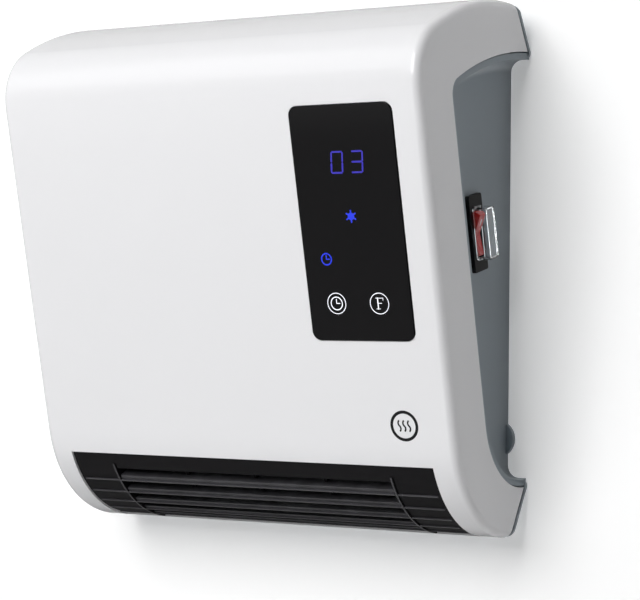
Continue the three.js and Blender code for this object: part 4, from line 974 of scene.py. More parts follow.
@dataclass
class TouchWindow(SubAssembly):
    """The black acrylic window with its lit figures and backlit keys. Places are from its middle."""

    width: float = 56.2
    length: float = 112.6
    radius: float = 4.5
    back: float = -0.9
    front: float = 0.6
    soft_edge: float = 0.4
    print_depth: float = 0.05
    print_rise: float = 0.03
    layer_rise: float = 0.004
    end_round: float = 0.42  # radius at a stroke's ends, as a share of its width
    figures_up: float = 29.2
    tens_x: float = -4.0
    ones_x: float = 6.9
    figure_height: float = 9.9
    figure_width: float = 6.0
    figure_lean: float = 5.0
    segment: float = 0.85
    segment_gap: float = 0.55
    fan: tuple[float, float] = (0.5, 3.5)
    fan_turns: Triple = (30.0, 90.0, 150.0)  # how each of its strokes leans
    fan_arm: float = 2.7
    fan_stroke: float = 0.8
    fan_hub: float = 1.8
    timer: tuple[float, float] = (-15.6, -16.8)
    timer_dial: Dial = Dial(radius=2.7, stroke=0.7, hand_stroke=0.6, hand_up=1.7, hand_right=1.5)
    clock_key: tuple[float, float] = (-12.6, -38.2)
    clock_dial: Dial = Dial(radius=3.1, stroke=0.5, hand_stroke=0.45, hand_up=2.0, hand_right=1.7)
    letter_key: tuple[float, float] = (10.9, -38.2)
    key_radius: float = 5.0
    key_stroke: float = 0.4

    def build(self) -> None:
        """Models the window, its figures and its signs."""
        panel = PanelFrame().matrix()
        window = rounded_plate("window", self.width, self.length, self.radius, self.back, self.front,
                               segments=8)
        soften(window, self.soft_edge, segments=3)
        self.hang(settle(window, panel), BLACK_ACRYLIC, "window_black", ("touch_window",))
        self._figures(panel)
        self._indicators(panel)
        self._keys(panel)

    def _mark(self, name: str, parts: list[Piece], finish: Finish, panel: Matrix, slot: str) -> None:
        """Joins flat strokes into one mark on the window.

        Args:
            name: The mark's name.
            parts: Its strokes.
            finish: What it shows as.
            panel: The window's frame.
            slot: The record's material slot.
        """
        mark = fuse(*parts) if len(parts) > 1 else parts[0]
        mark.name = name
        self.hang(settle(mark, panel), finish, slot)

    def _stroke(
        self, name: str, start: tuple[float, float], end: tuple[float, float], width: float, layer: int = 0
    ) -> Piece:
        """Makes a flat stroke with round ends on the window's face.

        Args:
            name: The stroke's name.
            start: The middle of one end.
            end: The middle of the other end.
            width: Its width.
            layer: How many layers it is thicker, so that crossing strokes share no plane.

        Returns:
            The stroke, in the window's frame.
        """
        run = Vector(end) - Vector(start)
        extra = layer * self.layer_rise
        stroke = rounded_plate(name, run.length + width, width, width * self.end_round,
                               self.front - self.print_depth - extra, self.front + self.print_rise + extra,
                               segments=3)
        middle = (Vector(start) + Vector(end)) / 2 * MM
        turn = Matrix.Rotation(math.atan2(run.y, run.x), 4, "Z")
        return settle(stroke, Matrix.Translation((*middle, 0)) @ turn)

    def _ring(self, name: str, x: float, y: float, radius: float, width: float) -> Piece:
        """Makes a flat ring on the window's face.

        Args:
            name: The ring's name.
            x: Its centre across.
            y: Its centre up.
            radius: Radius of its middle line.
            width: Its stroke.

        Returns:
            The ring, in the window's frame.
        """
        disc = self._disc(name, x, y, radius + width / 2, sides=48)
        low, high = self.front - SHORT_REACH, self.front + SHORT_REACH
        return cut(disc, rod("core", (x, y, low), (x, y, high), radius - width / 2, sides=48))

    def _disc(self, name: str, x: float, y: float, radius: float, sides: int) -> Piece:
        """Makes a flat disc on the window's face, at a place in the window's frame."""
        low, high = self.front - self.print_depth, self.front + self.print_rise
        return rod(name, (x, y, low), (x, y, high), radius, sides)

    def _clock(self, name: str, spot: tuple[float, float], dial: Dial) -> list[Piece]:
        """Makes a round dial with its two hands.

        Args:
            name: The dial's name.
            spot: Its centre.
            dial: Its sizes.

        Returns:
            The dial and its hands, in the window's frame.
        """
        x, y = spot
        return [
            self._ring(name, x, y, dial.radius, dial.stroke),
            self._stroke("hand", spot, (x, y + dial.hand_up), dial.hand_stroke, layer=1),
            self._stroke("hand", spot, (x + dial.hand_right, y), dial.hand_stroke, layer=2),
        ]

    def _figures(self, panel: Matrix) -> None:
        """Models the two seven-segment figures, a nought and a three.

        Args:
            panel: The window's frame.
        """
        w, h = self.figure_width / 2, self.figure_height / 2
        gap = self.segment_gap
        ends = {
            "top": ((-w + gap, h), (w - gap, h)),
            "middle": ((-w + gap, 0), (w - gap, 0)),
            "bottom": ((-w + gap, -h), (w - gap, -h)),
            "upper_left": ((-w, gap), (-w, h - gap)),
            "upper_right": ((w, gap), (w, h - gap)),
            "lower_left": ((-w, -h + gap), (-w, -gap)),
            "lower_right": ((w, -h + gap), (w, -gap)),
        }
        lit = {
            "figure_tens": (self.tens_x, [k for k in ends if k != "middle"]),
            "figure_ones": (self.ones_x, [k for k in ends if not k.endswith("left")]),
        }
        lean = math.tan(math.radians(self.figure_lean))
        for name, (x, segments) in lit.items():
            strokes = []
            for key in segments:
                start, end = ((x + x0 + lean * y0, self.figures_up + y0) for x0, y0 in ends[key])
                strokes.append(self._stroke(name, start, end, self.segment))
            pick(*strokes)
            bpy.ops.object.join()
            self._mark(name, [bpy.context.object], VIOLET_LIGHT, panel, "led_blue")

    def _indicators(self, panel: Matrix) -> None:
        """Models the lit fan star and the lit timer clock.

        Args:
            panel: The window's frame.
        """
        middle = Vector(self.fan)
        parts = [self._disc("hub", *middle, self.fan_hub, sides=24)]
        for layer, turn in enumerate(self.fan_turns, start=1):
            arm = spoke(turn) * self.fan_arm
            parts.append(self._stroke("fan_sign", middle - arm, middle + arm, self.fan_stroke, layer))
        self._mark("fan_sign", parts, BLUE_LIGHT, panel, "led_blue")
        clock = self._clock("timer_sign", self.timer, self.timer_dial)
        self._mark("timer_sign", clock, BLUE_LIGHT, panel, "led_blue")

    def _keys(self, panel: Matrix) -> None:
        """Models the two backlit touch keys: a clock and a letter for the function.

        Args:
            panel: The window's frame.
        """
        clock = [
            self._ring("timer_key", *self.clock_key, self.key_radius, self.key_stroke),
            *self._clock("dial", self.clock_key, self.clock_dial),
        ]
        self._mark("timer_key", clock, PALE_LIGHT, panel, "led_blue")
        x, y = self.letter_key
        letter = [self._ring("function_key", x, y, self.key_radius, self.key_stroke)]
        for name, (x0, y0), (x1, y1), width, layer in LETTER:
            letter.append(self._stroke(name, (x + x0, y + y0), (x + x1, y + y1), width, layer))
        self._mark("function_key", letter, PALE_LIGHT, panel, "led_blue")


@dataclass
class HeatSign(SubAssembly):
    """The printed ring with three rising waves on the shell, a plain sign for warm air."""

    x: float = 95.5
    up: float = 57.3
    radius: float = 6.8
    stroke: float = 1.5
    sunk: float = 0.02
    rise: float = 0.04
    wave_pitch: float = 2.6
    wave_radius: float = 1.75
    wave_half_width: float = 0.42
    wave_swing: float = 100.0

    def build(self) -> None:
        """Models the ring and its waves as thin ink."""
        outer, inner = self.radius + self.stroke / 2, self.radius - self.stroke / 2
        ring = rod("heat_sign", (0, 0, -self.sunk), (0, 0, self.rise), outer, sides=64)
        core = rod("core", (0, 0, -SHORT_REACH), (0, 0, SHORT_REACH), inner, sides=64)
        sign = fuse(cut(ring, core), *[self._wave(i * self.wave_pitch) for i in (-1, 0, 1)])
        self.hang(settle(sign, PanelFrame(self.x, self.up).matrix()), BLACK_INK, "grille_black")

    def _wave(self, x: float) -> Piece:
        """Makes one rising wave from two half turns.

        Args:
            x: Where it rises.

        Returns:
            The wave, in the sign's frame.
        """
        swing, half, steps = self.wave_swing, self.wave_swing / 2, 8
        outer, inner = self.wave_radius + self.wave_half_width, self.wave_radius - self.wave_half_width
        arm = self.wave_radius * spoke(half)
        lower, upper = Vector((x, 0)) - arm, Vector((x, 0)) + arm
        pen = Pen("wave", *(lower + outer * spoke(-half)))
        pen.arc(*lower, swing, steps).arc(*upper, -swing, steps)
        pen.line(*(upper + outer * spoke(180 - half))).arc(*upper, swing, steps)
        pen.line(*(lower + inner * spoke(half))).arc(*lower, -swing, steps)
        return pen.pull(-self.sunk, self.rise)


@dataclass
class RearCasing(SubAssembly):
    """The grey rear casing, with its recessed sides, lips, air slots and bracket pocket."""

    lip_setback: float = 1.0
    front_gap: float = 12.0
    outlet_clearance: float = 6.0
    outlet_depth: float = 15.0  # how deep the outlet's opening runs in from the shell's surface
    fillet: float = 6.0
    boss_radius: float = 9.1
    counterbore: float = 4.4
    slots: int = 21
    slot_width: float = 5.5
    slot_corner: float = 2.0
    slot_pitch: float = 10.0
    slot_margin: float = 4.0
    pocket: Triple = (67.0, 4.0, 24.0)  # half width, depth and half height
    hook_slot: Triple = (8.0, 5.0, 1.05)  # half width, reach under and over HANG
    blower_x: float = 56.25
    blower_z: float = 106.0
    blower_seat: float = 3.2
    blower_bore: float = 3.6
    foot_radius: float = 6.0
    soft_edge: float = 0.4

    def build(self) -> None:
        """Models the casing from the shell's own section, then cuts its recesses and openings."""
        case = self._body()
        fuse(case, *self._bosses())
        for side in (-1, 1):
            cut(case, self._recess(side))
            x, z, _ = CASE_SCREWS[0]
            ear = rod("ear", (side * x, -SKIM, z), (side * x, -WALL, z), self.boss_radius, sides=48)
            fuse(case, settle(ear, ABOVE_FOOT))
        cut(case, self._air_slots(), *self._rear_openings())
        soften(case, self.soft_edge)
        self.hang(case, GREY_ABS, "casing_grey", ("rear_casing",))

    def _body(self) -> Piece:
        """Makes the hollow body with its lips and its rear flange.

        Returns:
            The body, in the heater's frame.
        """
        skin = WALL + FIT
        body = settle(BODY.inset(skin).solid("casing", -HALF + skin, HALF - skin), ACROSS)
        for low, high in ((-HALF, -FLOOR_X), (FLOOR_X, HALF)):
            cheek = settle(BODY.inset(skin + WALL).solid("cheek", low, high), ACROSS)
            cut(body, combine(cheek, ahead_of_rear("cheek_limit", FLANGE), "INTERSECT"))
        lip_x = HALF - self.lip_setback
        fuse(body, settle(SIDE_WINDOW.inset(LIP_GAP).solid("lips", -lip_x, lip_x), ACROSS))
        over = HEIGHT + REACH
        front = Pen("front_cut", BODY.front_y(self.front_gap, -REACH), -REACH)
        front.line(BODY.front_y(self.front_gap, over), over).line(-over, over).line(-over, -REACH)
        cut(body, settle(front.pull(-HALF - REACH, HALF + REACH), ACROSS))
        hollow = settle(BODY.inset(skin + WALL).solid("hollow", -INNER_X, INNER_X), ACROSS)
        cut(body, combine(hollow, ahead_of_rear("rear_limit", WALL), "INTERSECT"))
        room = FIT + self.outlet_clearance
        start, end = OutletGrille.start - room, OutletGrille.end + room
        reach = OutletGrille.half + room
        cut(body, outlet_band("outlet_clearance", -REACH / 2, self.outlet_depth, start, end, -reach, reach))
        fuse(body, self._rear_flange())
        return combine(body, ahead_of_rear("rear_face", 0), "INTERSECT")

    def _rear_flange(self) -> Piece:
        """Makes the flange behind the shell, rounded off where it turns into the side recesses.

        Returns:
            The flange, in the heater's frame.
        """
        half = HALF - FIT
        flange = BODY.inset(FIT).solid("flange", -half, half)
        for side in (-1, 1):
            round_rim(flange, side * half, EDGE_RADIUS - FIT, segments=6)
        cut(settle(flange, ACROSS), ahead_of_rear("flange_limit", FLANGE))
        middle = half - FLANGE_RADIUS
        for side in (-1, 1):
            for edge, away in ((RIM_TOP - LIP, 1), (RIM_BOTTOM + LIP, -1)):
                z = edge + away * FLANGE_RADIUS
                x0, x1 = sorted((side * middle, side * (HALF + REACH)))
                z0, z1 = sorted((edge - away * OVERLAP, z))
                corner = bar("corner", (x0, -FLANGE - FIT, z0), (x1, REACH, z1))
                cut(corner, rod("turn", (side * middle, -REACH, z), (side * middle, 2 * REACH, z),
                                FLANGE_RADIUS, sides=48))
                cut(flange, settle(corner, ABOVE_FOOT))
        return flange

    def _bosses(self) -> list[Piece]:
        """Makes the case screws' bosses, the blower's feet and the wall of the bracket's pocket.

        Returns:
            The pieces, in the heater's frame.
        """
        rear = -SKIM
        made = [
            rod("boss", (x, rear, z), (x, -joint, z), self.boss_radius, sides=48)
            for x, z, joint in CASE_SCREWS
        ]
        made += [
            rod("foot", (x, rear, self.blower_z), (x, -self.foot_radius, self.blower_z), self.foot_radius)
            for x in (-self.blower_x, self.blower_x)
        ]
        x, depth, z = (size + WALL for size in self.pocket)
        made.append(bar("pocket_wall", (-x, -depth, HANG - z), (x, rear, HANG + z)))
        return [settle(piece, ABOVE_FOOT) for piece in made]

    def _recess(self, side: int) -> Piece:
        """Makes the cutter of one side recess, with its floor's edge rounded.

        Args:
            side: -1 for the left, 1 for the right.

        Returns:
            The cutter, in the heater's frame.
        """
        low, high = (FLOOR_X, HALF + REACH) if side > 0 else (-HALF - REACH, -FLOOR_X)
        recess = RECESS.solid("recess", low, high, REACH + self.fillet)
        round_rim(recess, side * FLOOR_X, self.fillet, segments=6)
        return settle(recess, ACROSS)

    def _air_slots(self) -> Piece:
        """Makes the cutters of the row of air slots in the cut-back top edge.

        Returns:
            All the cutters as one piece, in the heater's frame.
        """
        length = math.hypot(RIM_SETBACK, HEIGHT - RIM_TOP) - 2 * self.slot_margin
        slot = rounded_plate("slot", self.slot_width, length, self.slot_corner, -REACH / 2, REACH / 2,
                             segments=4)
        lie = Matrix.Rotation(RIM_LEAN, 4, "X") @ Matrix.Rotation(math.pi / 2, 4, "X")
        middle = (self.slots - 1) / 2
        y, z = -RIM_SETBACK / 2, (RIM_TOP + HEIGHT) / 2
        spots = [((i - middle) * self.slot_pitch, y, z) for i in range(self.slots)]
        return copies(slot, [ABOVE_FOOT @ Matrix.Translation(Vector(spot) * MM) @ lie for spot in spots])

    def _rear_openings(self) -> list[Piece]:
        """Makes the cutters of the bracket's pocket, its hooks' slots, the screws, the switch and the gland.

        Returns:
            The cutters, in the heater's frame.
        """
        half, depth, rise = self.pocket
        cutters = [bar("pocket", (-half, -depth, HANG - rise), (half, REACH, HANG + rise))]
        reach, under, over = self.hook_slot
        for x in (-WallFixings.hook_x, WallFixings.hook_x):
            cutters.append(bar("hook_slot", (x - reach, -REACH, HANG - under), (x + reach, 0, HANG + over)))
        for x, z, joint in CASE_SCREWS:
            cutters.append(rod("tunnel", (x, REACH, z), (x, -joint + SCREW_SHELF, z), self.counterbore))
            end = -joint - FIT - SHORT_REACH
            cutters.append(rod("shank", (x, REACH, z), (x, end, z), PILOT_RADIUS, sides=24))
        for x in (-self.blower_x, self.blower_x):
            z = self.blower_z
            cutters.append(rod("tunnel", (x, REACH, z), (x, -self.blower_seat, z), self.blower_bore))
            cutters.append(rod("shank", (x, REACH, z), (x, -REACH, z), PILOT_RADIUS, sides=24))
        for cutter in cutters:
            settle(cutter, ABOVE_FOOT)
        hole = rounded_plate("switch_hole", RockerSwitch.body_width + 2 * FIT,
                             RockerSwitch.body_length + 2 * FIT, RockerSwitch.body_corner, -REACH, REACH,
                             segments=3)
        cutters.append(settle(hole, SwitchFrame().matrix()))
        gland_hole = rod("gland_hole", (0, 0, -REACH), (0, 0, REACH), WallFixings.gland_radius + FIT)
        cutters.append(settle(gland_hole, GlandFrame().matrix()))
        return cutters


@dataclass
class SwitchFrame:
    """The frame on the right side wall at the switch's centre: Y up the slope, Z out of the side."""

    from_front: float = 58.9
    up: float = 138.8

    def matrix(self) -> Matrix:
        """Returns where the frame lies in the heater's."""
        y = BODY.foot_y + self.from_front * math.cos(TILT) - self.up * math.sin(TILT)
        z = self.from_front * math.sin(TILT) + self.up * math.cos(TILT)
        across = Vector((0, math.cos(TILT), math.sin(TILT)))
        slope = Vector((0, -math.sin(TILT), math.cos(TILT)))
        return frame_at((FLOOR_X, y, z), across, slope, Vector((1, 0, 0)))


@dataclass
class GlandFrame:
    """The frame of the cord's gland, square to the cut-back bottom edge."""

    x: float = -60.0

    def matrix(self) -> Matrix:
        """Returns where the frame lies in the heater's."""
        lean = math.atan2(RIM_SETBACK, RIM_BOTTOM)
        turn = Matrix.Rotation(-math.pi / 2 - lean, 4, "X")
        spot = Matrix.Translation((self.x * MM, -RIM_SETBACK / 2 * MM, RIM_BOTTOM / 2 * MM))
        return ABOVE_FOOT @ spot @ turn


@dataclass
class OutletGrille(SubAssembly):
    """The black curved grille with its raked slats, ribs and ridged ends."""

    recess: float = 1.0
    thickness: float = 2.4
    header_end: float = 21.5
    start: float = 12.1
    end: float = 74.7
    footer: float = 2.0
    half: float = 107.7
    end_thickness: float = 2.0
    open_half: float = 83.0
    first_slat: float = 29.5  # the lower edge of its face
    pitch: float = 9.2
    slats: int = 5
    slat_face: float = 3.0
    slat_length: float = 10.0
    slat_thickness: float = 1.6
    slat_rise: float = 38.0
    slat_edge_radius: float = 0.45
    ribs: int = 5
    rib_thickness: float = 1.6
    rib_back: float = 9.0
    rib_front: float = 5.0  # of the middle ribs, which stand behind the slats' faces
    proud: float = 0.7  # how far the beads and the end ribs stand out
    bead_width: float = 0.8
    bead_inset: float = 2.0  # how far the slats' beads stop short of the grille's ends
    bead_step: float = 0.1  # how far the end ribs' beads stand over the slats' beads
    bead_edge: float = 0.15
    lip_depth: float = 2.8
    lip_thickness: float = 2.0
    lip_overlap: float = 1.2
    upper_lip: float = 5.3
    lower_lip: float = 3.3
    tuck: float = 0.3  # how far a fused piece lies inside the face that it meets
    rib_tuck: float = 0.2
    soft_edge: float = 0.25

    def build(self) -> None:
        """Models the grille's face, then its ridges, slats, ribs, ends and tucked lips."""
        grille = outlet_band("grille", self.recess, self.recess + self.thickness, self.start, self.end,
                             -self.half, self.half)
        cut(grille, outlet_band("open_zone", -REACH / 2, REACH, self.header_end, self.end - self.footer,
                                -self.open_half, self.open_half))
        for side in (-1, 1):
            low, high = sorted((side * (self.half - self.end_thickness), side * self.half))
            fuse(grille, outlet_band("end", self.recess + self.tuck, self.rib_back, self.start + self.tuck,
                                     self.end - self.tuck, low, high))
        lip_half = self.half - self.tuck / 2
        for start, end in ((self.start - self.upper_lip, self.start + self.lip_overlap),
                           (self.end - self.lip_overlap, self.end + self.lower_lip)):
            fuse(grille, outlet_band("lip", self.lip_depth, self.lip_depth + self.lip_thickness, start, end,
                                     -lip_half, lip_half, steps=6))
        fuse(grille, *[self._rib(i) for i in range(self.ribs)])
        soften(grille, self.soft_edge)
        self.hang(grille, BLACK_PA, "grille_black", ("outlet_grille",))
        # The slats carry painted light: a lighter black in bright patches.
        slats = fuse(*[self._slat(i) for i in range(self.slats)])
        slats.name = "grille_slats"
        soften(slats, self.slat_edge_radius, segments=3)
        self.hang(slats, SLAT_PA_PAINTED_LIGHT, "grille_black")
        # The beads carry a painted highlight along the slats' edges and the end ribs.
        beads = fuse(*[self._bead(i) for i in range(self.slats)], *[self._rib_bead(side) for side in (-1, 1)])
        beads.name = "grille_beads"
        self.hang(soften(beads, self.bead_edge), BEAD_PA_PAINTED_HIGHLIGHT, "grille_black")

    def _slat_edge(self, index: int) -> float:
        """Returns where a slat's lower edge lies along the bottom arc."""
        return self.first_slat + index * self.pitch

    def _bead(self, index: int) -> Piece:
        """Makes the raised bead along a slat's lower edge, which runs on over the closed ends."""
        low, half = self._slat_edge(index), self.half - self.bead_inset
        return outlet_band("bead", self.recess - self.proud, self.recess + OVERLAP, low - self.bead_width,
                           low, -half, half, steps=12)

    def _rib_bead(self, side: int) -> Piece:
        """Makes the raised bead along an end rib, on the given side."""
        x, half_width = side * self.open_half, self.bead_width / 2
        return outlet_band("rib_bead", self.recess - self.proud - self.bead_step,
                           self.recess + OVERLAP + self.bead_step, self.header_end - self.slat_face,
                           self.end - self.tuck, x - half_width, x + half_width, steps=16)

    def _slat(self, index: int) -> Piece:
        """Makes one raked slat: a face on the arc, and a thinner blade that rises inwards from it.

        Args:
            index: Its place in the row, from the top.

        Returns:
            The slat, in the heater's frame.
        """
        outer = BODY.bottom_radius - self.recess - self.tuck / 2
        low = self._slat_edge(index)
        angles = [math.pi + TILT + length / BODY.bottom_radius for length in (low, low - self.slat_face)]
        edge, brow = (BODY.bottom() + outer * spoke(math.degrees(angle)) for angle in angles)
        inward = spoke(self.slat_rise)
        across = Vector((-inward.y, inward.x)) * self.slat_thickness
        tip = edge + inward * self.slat_length
        pen = Pen("slat", *edge)
        pen.line(*tip).line(*(tip + across)).line(*brow)
        reach = self.open_half + OVERLAP
        return settle(pen.pull(-reach, reach), ACROSS)

    def _rib(self, index: int) -> Piece:
        """Makes one upright rib: the two end ones stand proud, the middle ones lie back.

        Args:
            index: Its place in the row, from the left.

        Returns:
            The rib, in the heater's frame.
        """
        x = -self.open_half + index * 2 * self.open_half / (self.ribs - 1)
        at_end = index in (0, self.ribs - 1)
        front = self.recess - self.proud if at_end else self.rib_front
        start = self.header_end - self.slat_face if at_end else self.start + OVERLAP
        return outlet_band("rib", front, self.rib_back - self.rib_tuck, start, self.end - self.tuck / 2,
                           x - self.rib_thickness / 2, x + self.rib_thickness / 2)


@dataclass
class RockerSwitch(SubAssembly):
    """The switch's bezel and body, and the clear cap over it."""

    bezel_width: float = 13.5
    bezel_length: float = 37.6
    bezel_corner: float = 1.2
    top: float = 2.5  # of the bezel, over the side wall
    body_width: float = 9.6
    body_length: float = 28.0
    body_depth: float = 18.0
    body_corner: float = 1.0
    cavity_depth: float = 7.0
    cavity_corner: float = 0.5
    wall: float = 1.3
    pin_seat: float = 1.8
    cap_width: float = 8.4
    cap_length: float = 25.5
    cap_height: float = 7.4
    cap_wall: float = 0.8
    cap_corner: float = 1.2
    cap_round: float = 0.9  # of the cap's top edge
    cap_foot: float = 0.5
    cap_step: float = 0.1  # from the foot's underside to the box's
    cap_edge: float = 0.15
    soft_edge: float = 0.35

    def build(self) -> None:
        """Models the switch's housing and its clear cap."""
        place = SwitchFrame().matrix()
        housing = rounded_plate("switch_body", self.body_width, self.body_length, self.body_corner,
                                -self.body_depth, self.top)
        bezel = rounded_plate("bezel", self.bezel_width, self.bezel_length, self.bezel_corner, FIT,
                              self.top + SKIM)
        fuse(housing, bezel)
        cavity = rounded_plate("cavity", self.body_width - 2 * self.wall, self.body_length - 2 * self.wall,
                               self.cavity_corner, -self.cavity_depth, self.top + SHORT_REACH)
        seat_half = (self.body_width - self.wall) / 2
        depth = Rocker.pivot_depth
        seat = rod("pin_seat", (-seat_half, 0, -depth), (seat_half, 0, -depth), self.pin_seat)
        cut(housing, cavity, seat)
        soften(housing, self.soft_edge, segments=3)
        self.hang(settle(housing, place), BLACK_NYLON, "switch_black", ("switch_housing",))
        self.hang(settle(self._cap(), place), CLEAR_CAP, "cover_clear", ("switch_cover",))

    def _cap(self) -> Piece:
        """Makes the clear cap: a foot, and a box with a rounded top.

        Returns:
            The cap, in the switch's frame.
        """
        base = self.top + FIT
        roof = base + self.cap_height
        cap = self._cap_plate("switch_cap", 0, self.cap_corner, base + self.cap_step, roof)
        round_rim(cap, roof, self.cap_round, segments=4)
        fuse(cap, self._cap_plate("foot", self.cap_foot, self.cap_corner + self.cap_foot, base,
                                  base + self.cap_wall))
        inner = roof - self.cap_wall
        hollow = self._cap_plate("hollow", -self.cap_wall, self.cap_corner / 2, base - SHORT_REACH, inner)
        round_rim(hollow, inner, self.cap_round / 2, segments=3)
        return soften(cut(cap, hollow), self.cap_edge)

    def _cap_plate(self, name: str, margin: float, corner: float, low: float, high: float) -> Piece:
        """Makes a block as large as the cap and a margin all round, in the switch's frame."""
        width, length = self.cap_width + 2 * margin, self.cap_length + 2 * margin
        return rounded_plate(name, width, length, corner, low, high)


@dataclass
class Rocker(SubAssembly):
    """The red rocker, which tips on its pivot."""

    body: str = "rocker"
    half_width: float = 3.1
    reach: float = 11.75
    end: float = 6.2
    shoulder: float = 3.0
    middle: float = 3.4
    under: float = 2.5
    taper: float = 1.6
    foot_taper: float = 0.5
    pin_reach: float = 3.85
    pin_radius: float = 1.5
    throw: float = 9.0
    pivot_depth: float = 1.5
    soft_edge: float = 0.45
    mark_place: float = 0.6  # along the slope, as a share of it
    mark_width: float = 0.8
    mark_length: float = 3.4
    mark_corner: float = 0.3
    mark_sunk: float = 0.05
    mark_rise: float = 0.03

    def build(self) -> None:
        """Models the rocker with its two slopes, its pins and its printed mark."""
        foot, crest = self.reach - self.foot_taper, self.reach - self.taper
        outline = Pen("rocker", -foot, -self.under)
        outline.line(foot, -self.under).line(self.reach, self.shoulder).line(crest, self.end)
        outline.line(0, self.middle).line(-crest, self.end).line(-self.reach, self.shoulder)
        rocker = settle(outline.pull(-self.half_width, self.half_width), self._upright())
        fuse(rocker, rod("pins", (-self.pin_reach, 0, 0), (self.pin_reach, 0, 0), self.pin_radius))
        soften(rocker, self.soft_edge, segments=3, degrees=25)
        # The rocker's finish carries a faint painted glow in place of light through the cap.
        self.hang(settle(rocker, self._place()), RED_POLYCARBONATE, "rocker_red", ("switch_rocker",))
        self._mark()

    def _upright(self) -> Matrix:
        """Returns the turn that lays the outline's plane along the rocker's length."""
        return Matrix(((0, 0, 1, 0), (1, 0, 0, 0), (0, 1, 0, 0), (0, 0, 0, 1)))

    def _place(self) -> Matrix:
        """Returns where the rocker's pivot frame lies, at rest."""
        drop = Matrix.Translation((0, 0, -self.pivot_depth * MM))
        return SwitchFrame().matrix() @ drop @ Matrix.Rotation(math.radians(self.throw), 4, "X")

    def _mark(self) -> None:
        """Models the printed line that marks the end that switches on."""
        crest = self.reach - self.taper
        slope = math.atan2(self.end - self.middle, crest)
        along = crest * self.mark_place
        line = rounded_plate("on_mark", self.mark_width, self.mark_length, self.mark_corner,
                             -self.mark_sunk, self.mark_rise, segments=3)
        spot = Vector((0, along, self.middle + along * math.tan(slope))) * MM
        settle(line, Matrix.Translation(spot) @ Matrix.Rotation(slope, 4, "X"))
        self.hang(settle(line, self._place()), WHITE_INK, "wire_white")


@dataclass
class WallFixings(SubAssembly):
    """The steel wall bracket, the cord's gland and the case screws."""

    width: float = 130.0
    height: float = 34.0
    thickness: float = 1.5
    corner: float = 3.0
    soft_edge: float = 0.25
    hook_x: float = 45.0
    hook_half: float = 7.0
    hook_rise: float = 5.0
    hook_reach: float = 8.3
    hole_x: float = 50.0
    hole_radius: float = 2.5
    gland_bore: float = 3.6
    gland_radius: float = 6.5
    gland_flange: float = 8.5
    gland_face: float = 1.9  # of the flange, over the edge that it sits on
    gland_chamfer: float = 0.5
    gland_barb: float = 1.0  # how far the barb stands out
    gland_barb_depth: float = 5.2
    gland_depth: float = 9.0
    head_radius: float = 3.0
    head_height: float = 2.2
    head_edge: float = 0.3
    screw_radius: float = 1.5
    screw_length: float = 14.0
    drive_half: float = 1.8
    drive_half_width: float = 0.35
    drive_depth: float = 1.1

    def build(self) -> None:
        """Models the bracket, the gland and the screws."""
        self._bracket()
        self._gland()
        self._screws()

    def _bracket(self) -> None:
        """Models the bracket as folded sheet with two hooks and two round holes."""
        plate = rounded_plate("bracket", self.width, self.height, self.corner, 0, self.thickness)
        lie = Matrix.Rotation(math.pi / 2, 4, "X")
        settle(plate, ABOVE_FOOT @ Matrix.Translation((0, 0, HANG * MM)) @ lie)
        low, high = HANG - self.thickness / 2, HANG + self.thickness / 2
        inner = self.hook_reach - self.thickness
        for x in (-self.hook_x, self.hook_x):
            x0, x1 = x - self.hook_half, x + self.hook_half
            tongue = bar("tongue", (x0, -self.hook_reach, low), (x1, -self.thickness / 2, high))
            lip = bar("lip", (x0, -self.hook_reach, low), (x1, -inner, HANG + self.hook_rise))
            fuse(plate, settle(tongue, ABOVE_FOOT), settle(lip, ABOVE_FOOT))
        for x in (-self.hole_x, self.hole_x):
            cut(plate, settle(rod("hole", (x, -REACH, HANG), (x, REACH, HANG), self.hole_radius), ABOVE_FOOT))
        soften(plate, self.soft_edge)
        self.hang(plate, ZINC_STEEL, "zinc_plate", ("wall_bracket",))

    def _gland(self) -> None:
        """Models the gland by turning its profile about its axis."""
        bore, radius, flange = self.gland_bore, self.gland_radius, self.gland_flange
        chamfer, face = self.gland_chamfer, self.gland_face
        barb, tip = -self.gland_barb_depth, -self.gland_depth
        pen = Pen("gland", bore, face)
        pen.line(flange - chamfer, face).line(flange, face - chamfer).line(flange, FIT).line(radius, FIT)
        pen.line(radius, barb).line(radius + self.gland_barb, barb)
        pen.line(radius + chamfer, tip).line(bore, tip)
        bpy.ops.mesh.select_all(action="SELECT")
        bpy.ops.mesh.edge_face_add()
        bpy.ops.mesh.delete(type="ONLY_FACE")
        bpy.ops.mesh.select_all(action="SELECT")
        bpy.ops.mesh.spin(steps=40, angle=2 * math.pi, center=(0, 0, 0), axis=(0, 1, 0))
        bpy.ops.mesh.select_all(action="SELECT")
        bpy.ops.mesh.remove_doubles(threshold=NEAR * MM)
        bpy.ops.mesh.normals_make_consistent(inside=False)
        bpy.ops.object.mode_set(mode="OBJECT")
        gland = smooth(settle(pen.piece, Matrix.Rotation(math.pi / 2, 4, "X")))
        self.hang(settle(gland, GlandFrame().matrix()), RUBBER, "rubber", ("cord_gland",))

    def _screws(self) -> None:
        """Models the four case screws with crossed drives."""
        names = ("lower_right", "lower_left", "upper_right", "upper_left")
        arm, sliver = self.drive_half, self.drive_half_width
        for name, (x, z, joint) in zip(names, CASE_SCREWS):
            seat = -joint + SCREW_SHELF + FIT
            top = seat + self.head_height
            floor = top - self.drive_depth
            screw = rod("dressed_case_screw_" + name, (x, seat, z), (x, top, z), self.head_radius)
            start, end = (x, seat + OVERLAP, z), (x, seat - self.screw_length, z)
            fuse(screw, rod("shank", start, end, self.screw_radius, sides=16))
            cut(screw, bar("slot", (x - arm, floor, z - sliver), (x + arm, REACH, z + sliver)),
                bar("slot", (x - sliver, floor - SKIM, z - arm), (x + sliver, REACH, z + arm)))
            soften(screw, self.head_edge)
            self.hang(settle(screw, ABOVE_FOOT), SCREW_STEEL, "steel", ("case_screw_" + name,))


# ------------------------------------------------------------------------------------------------
# Studio


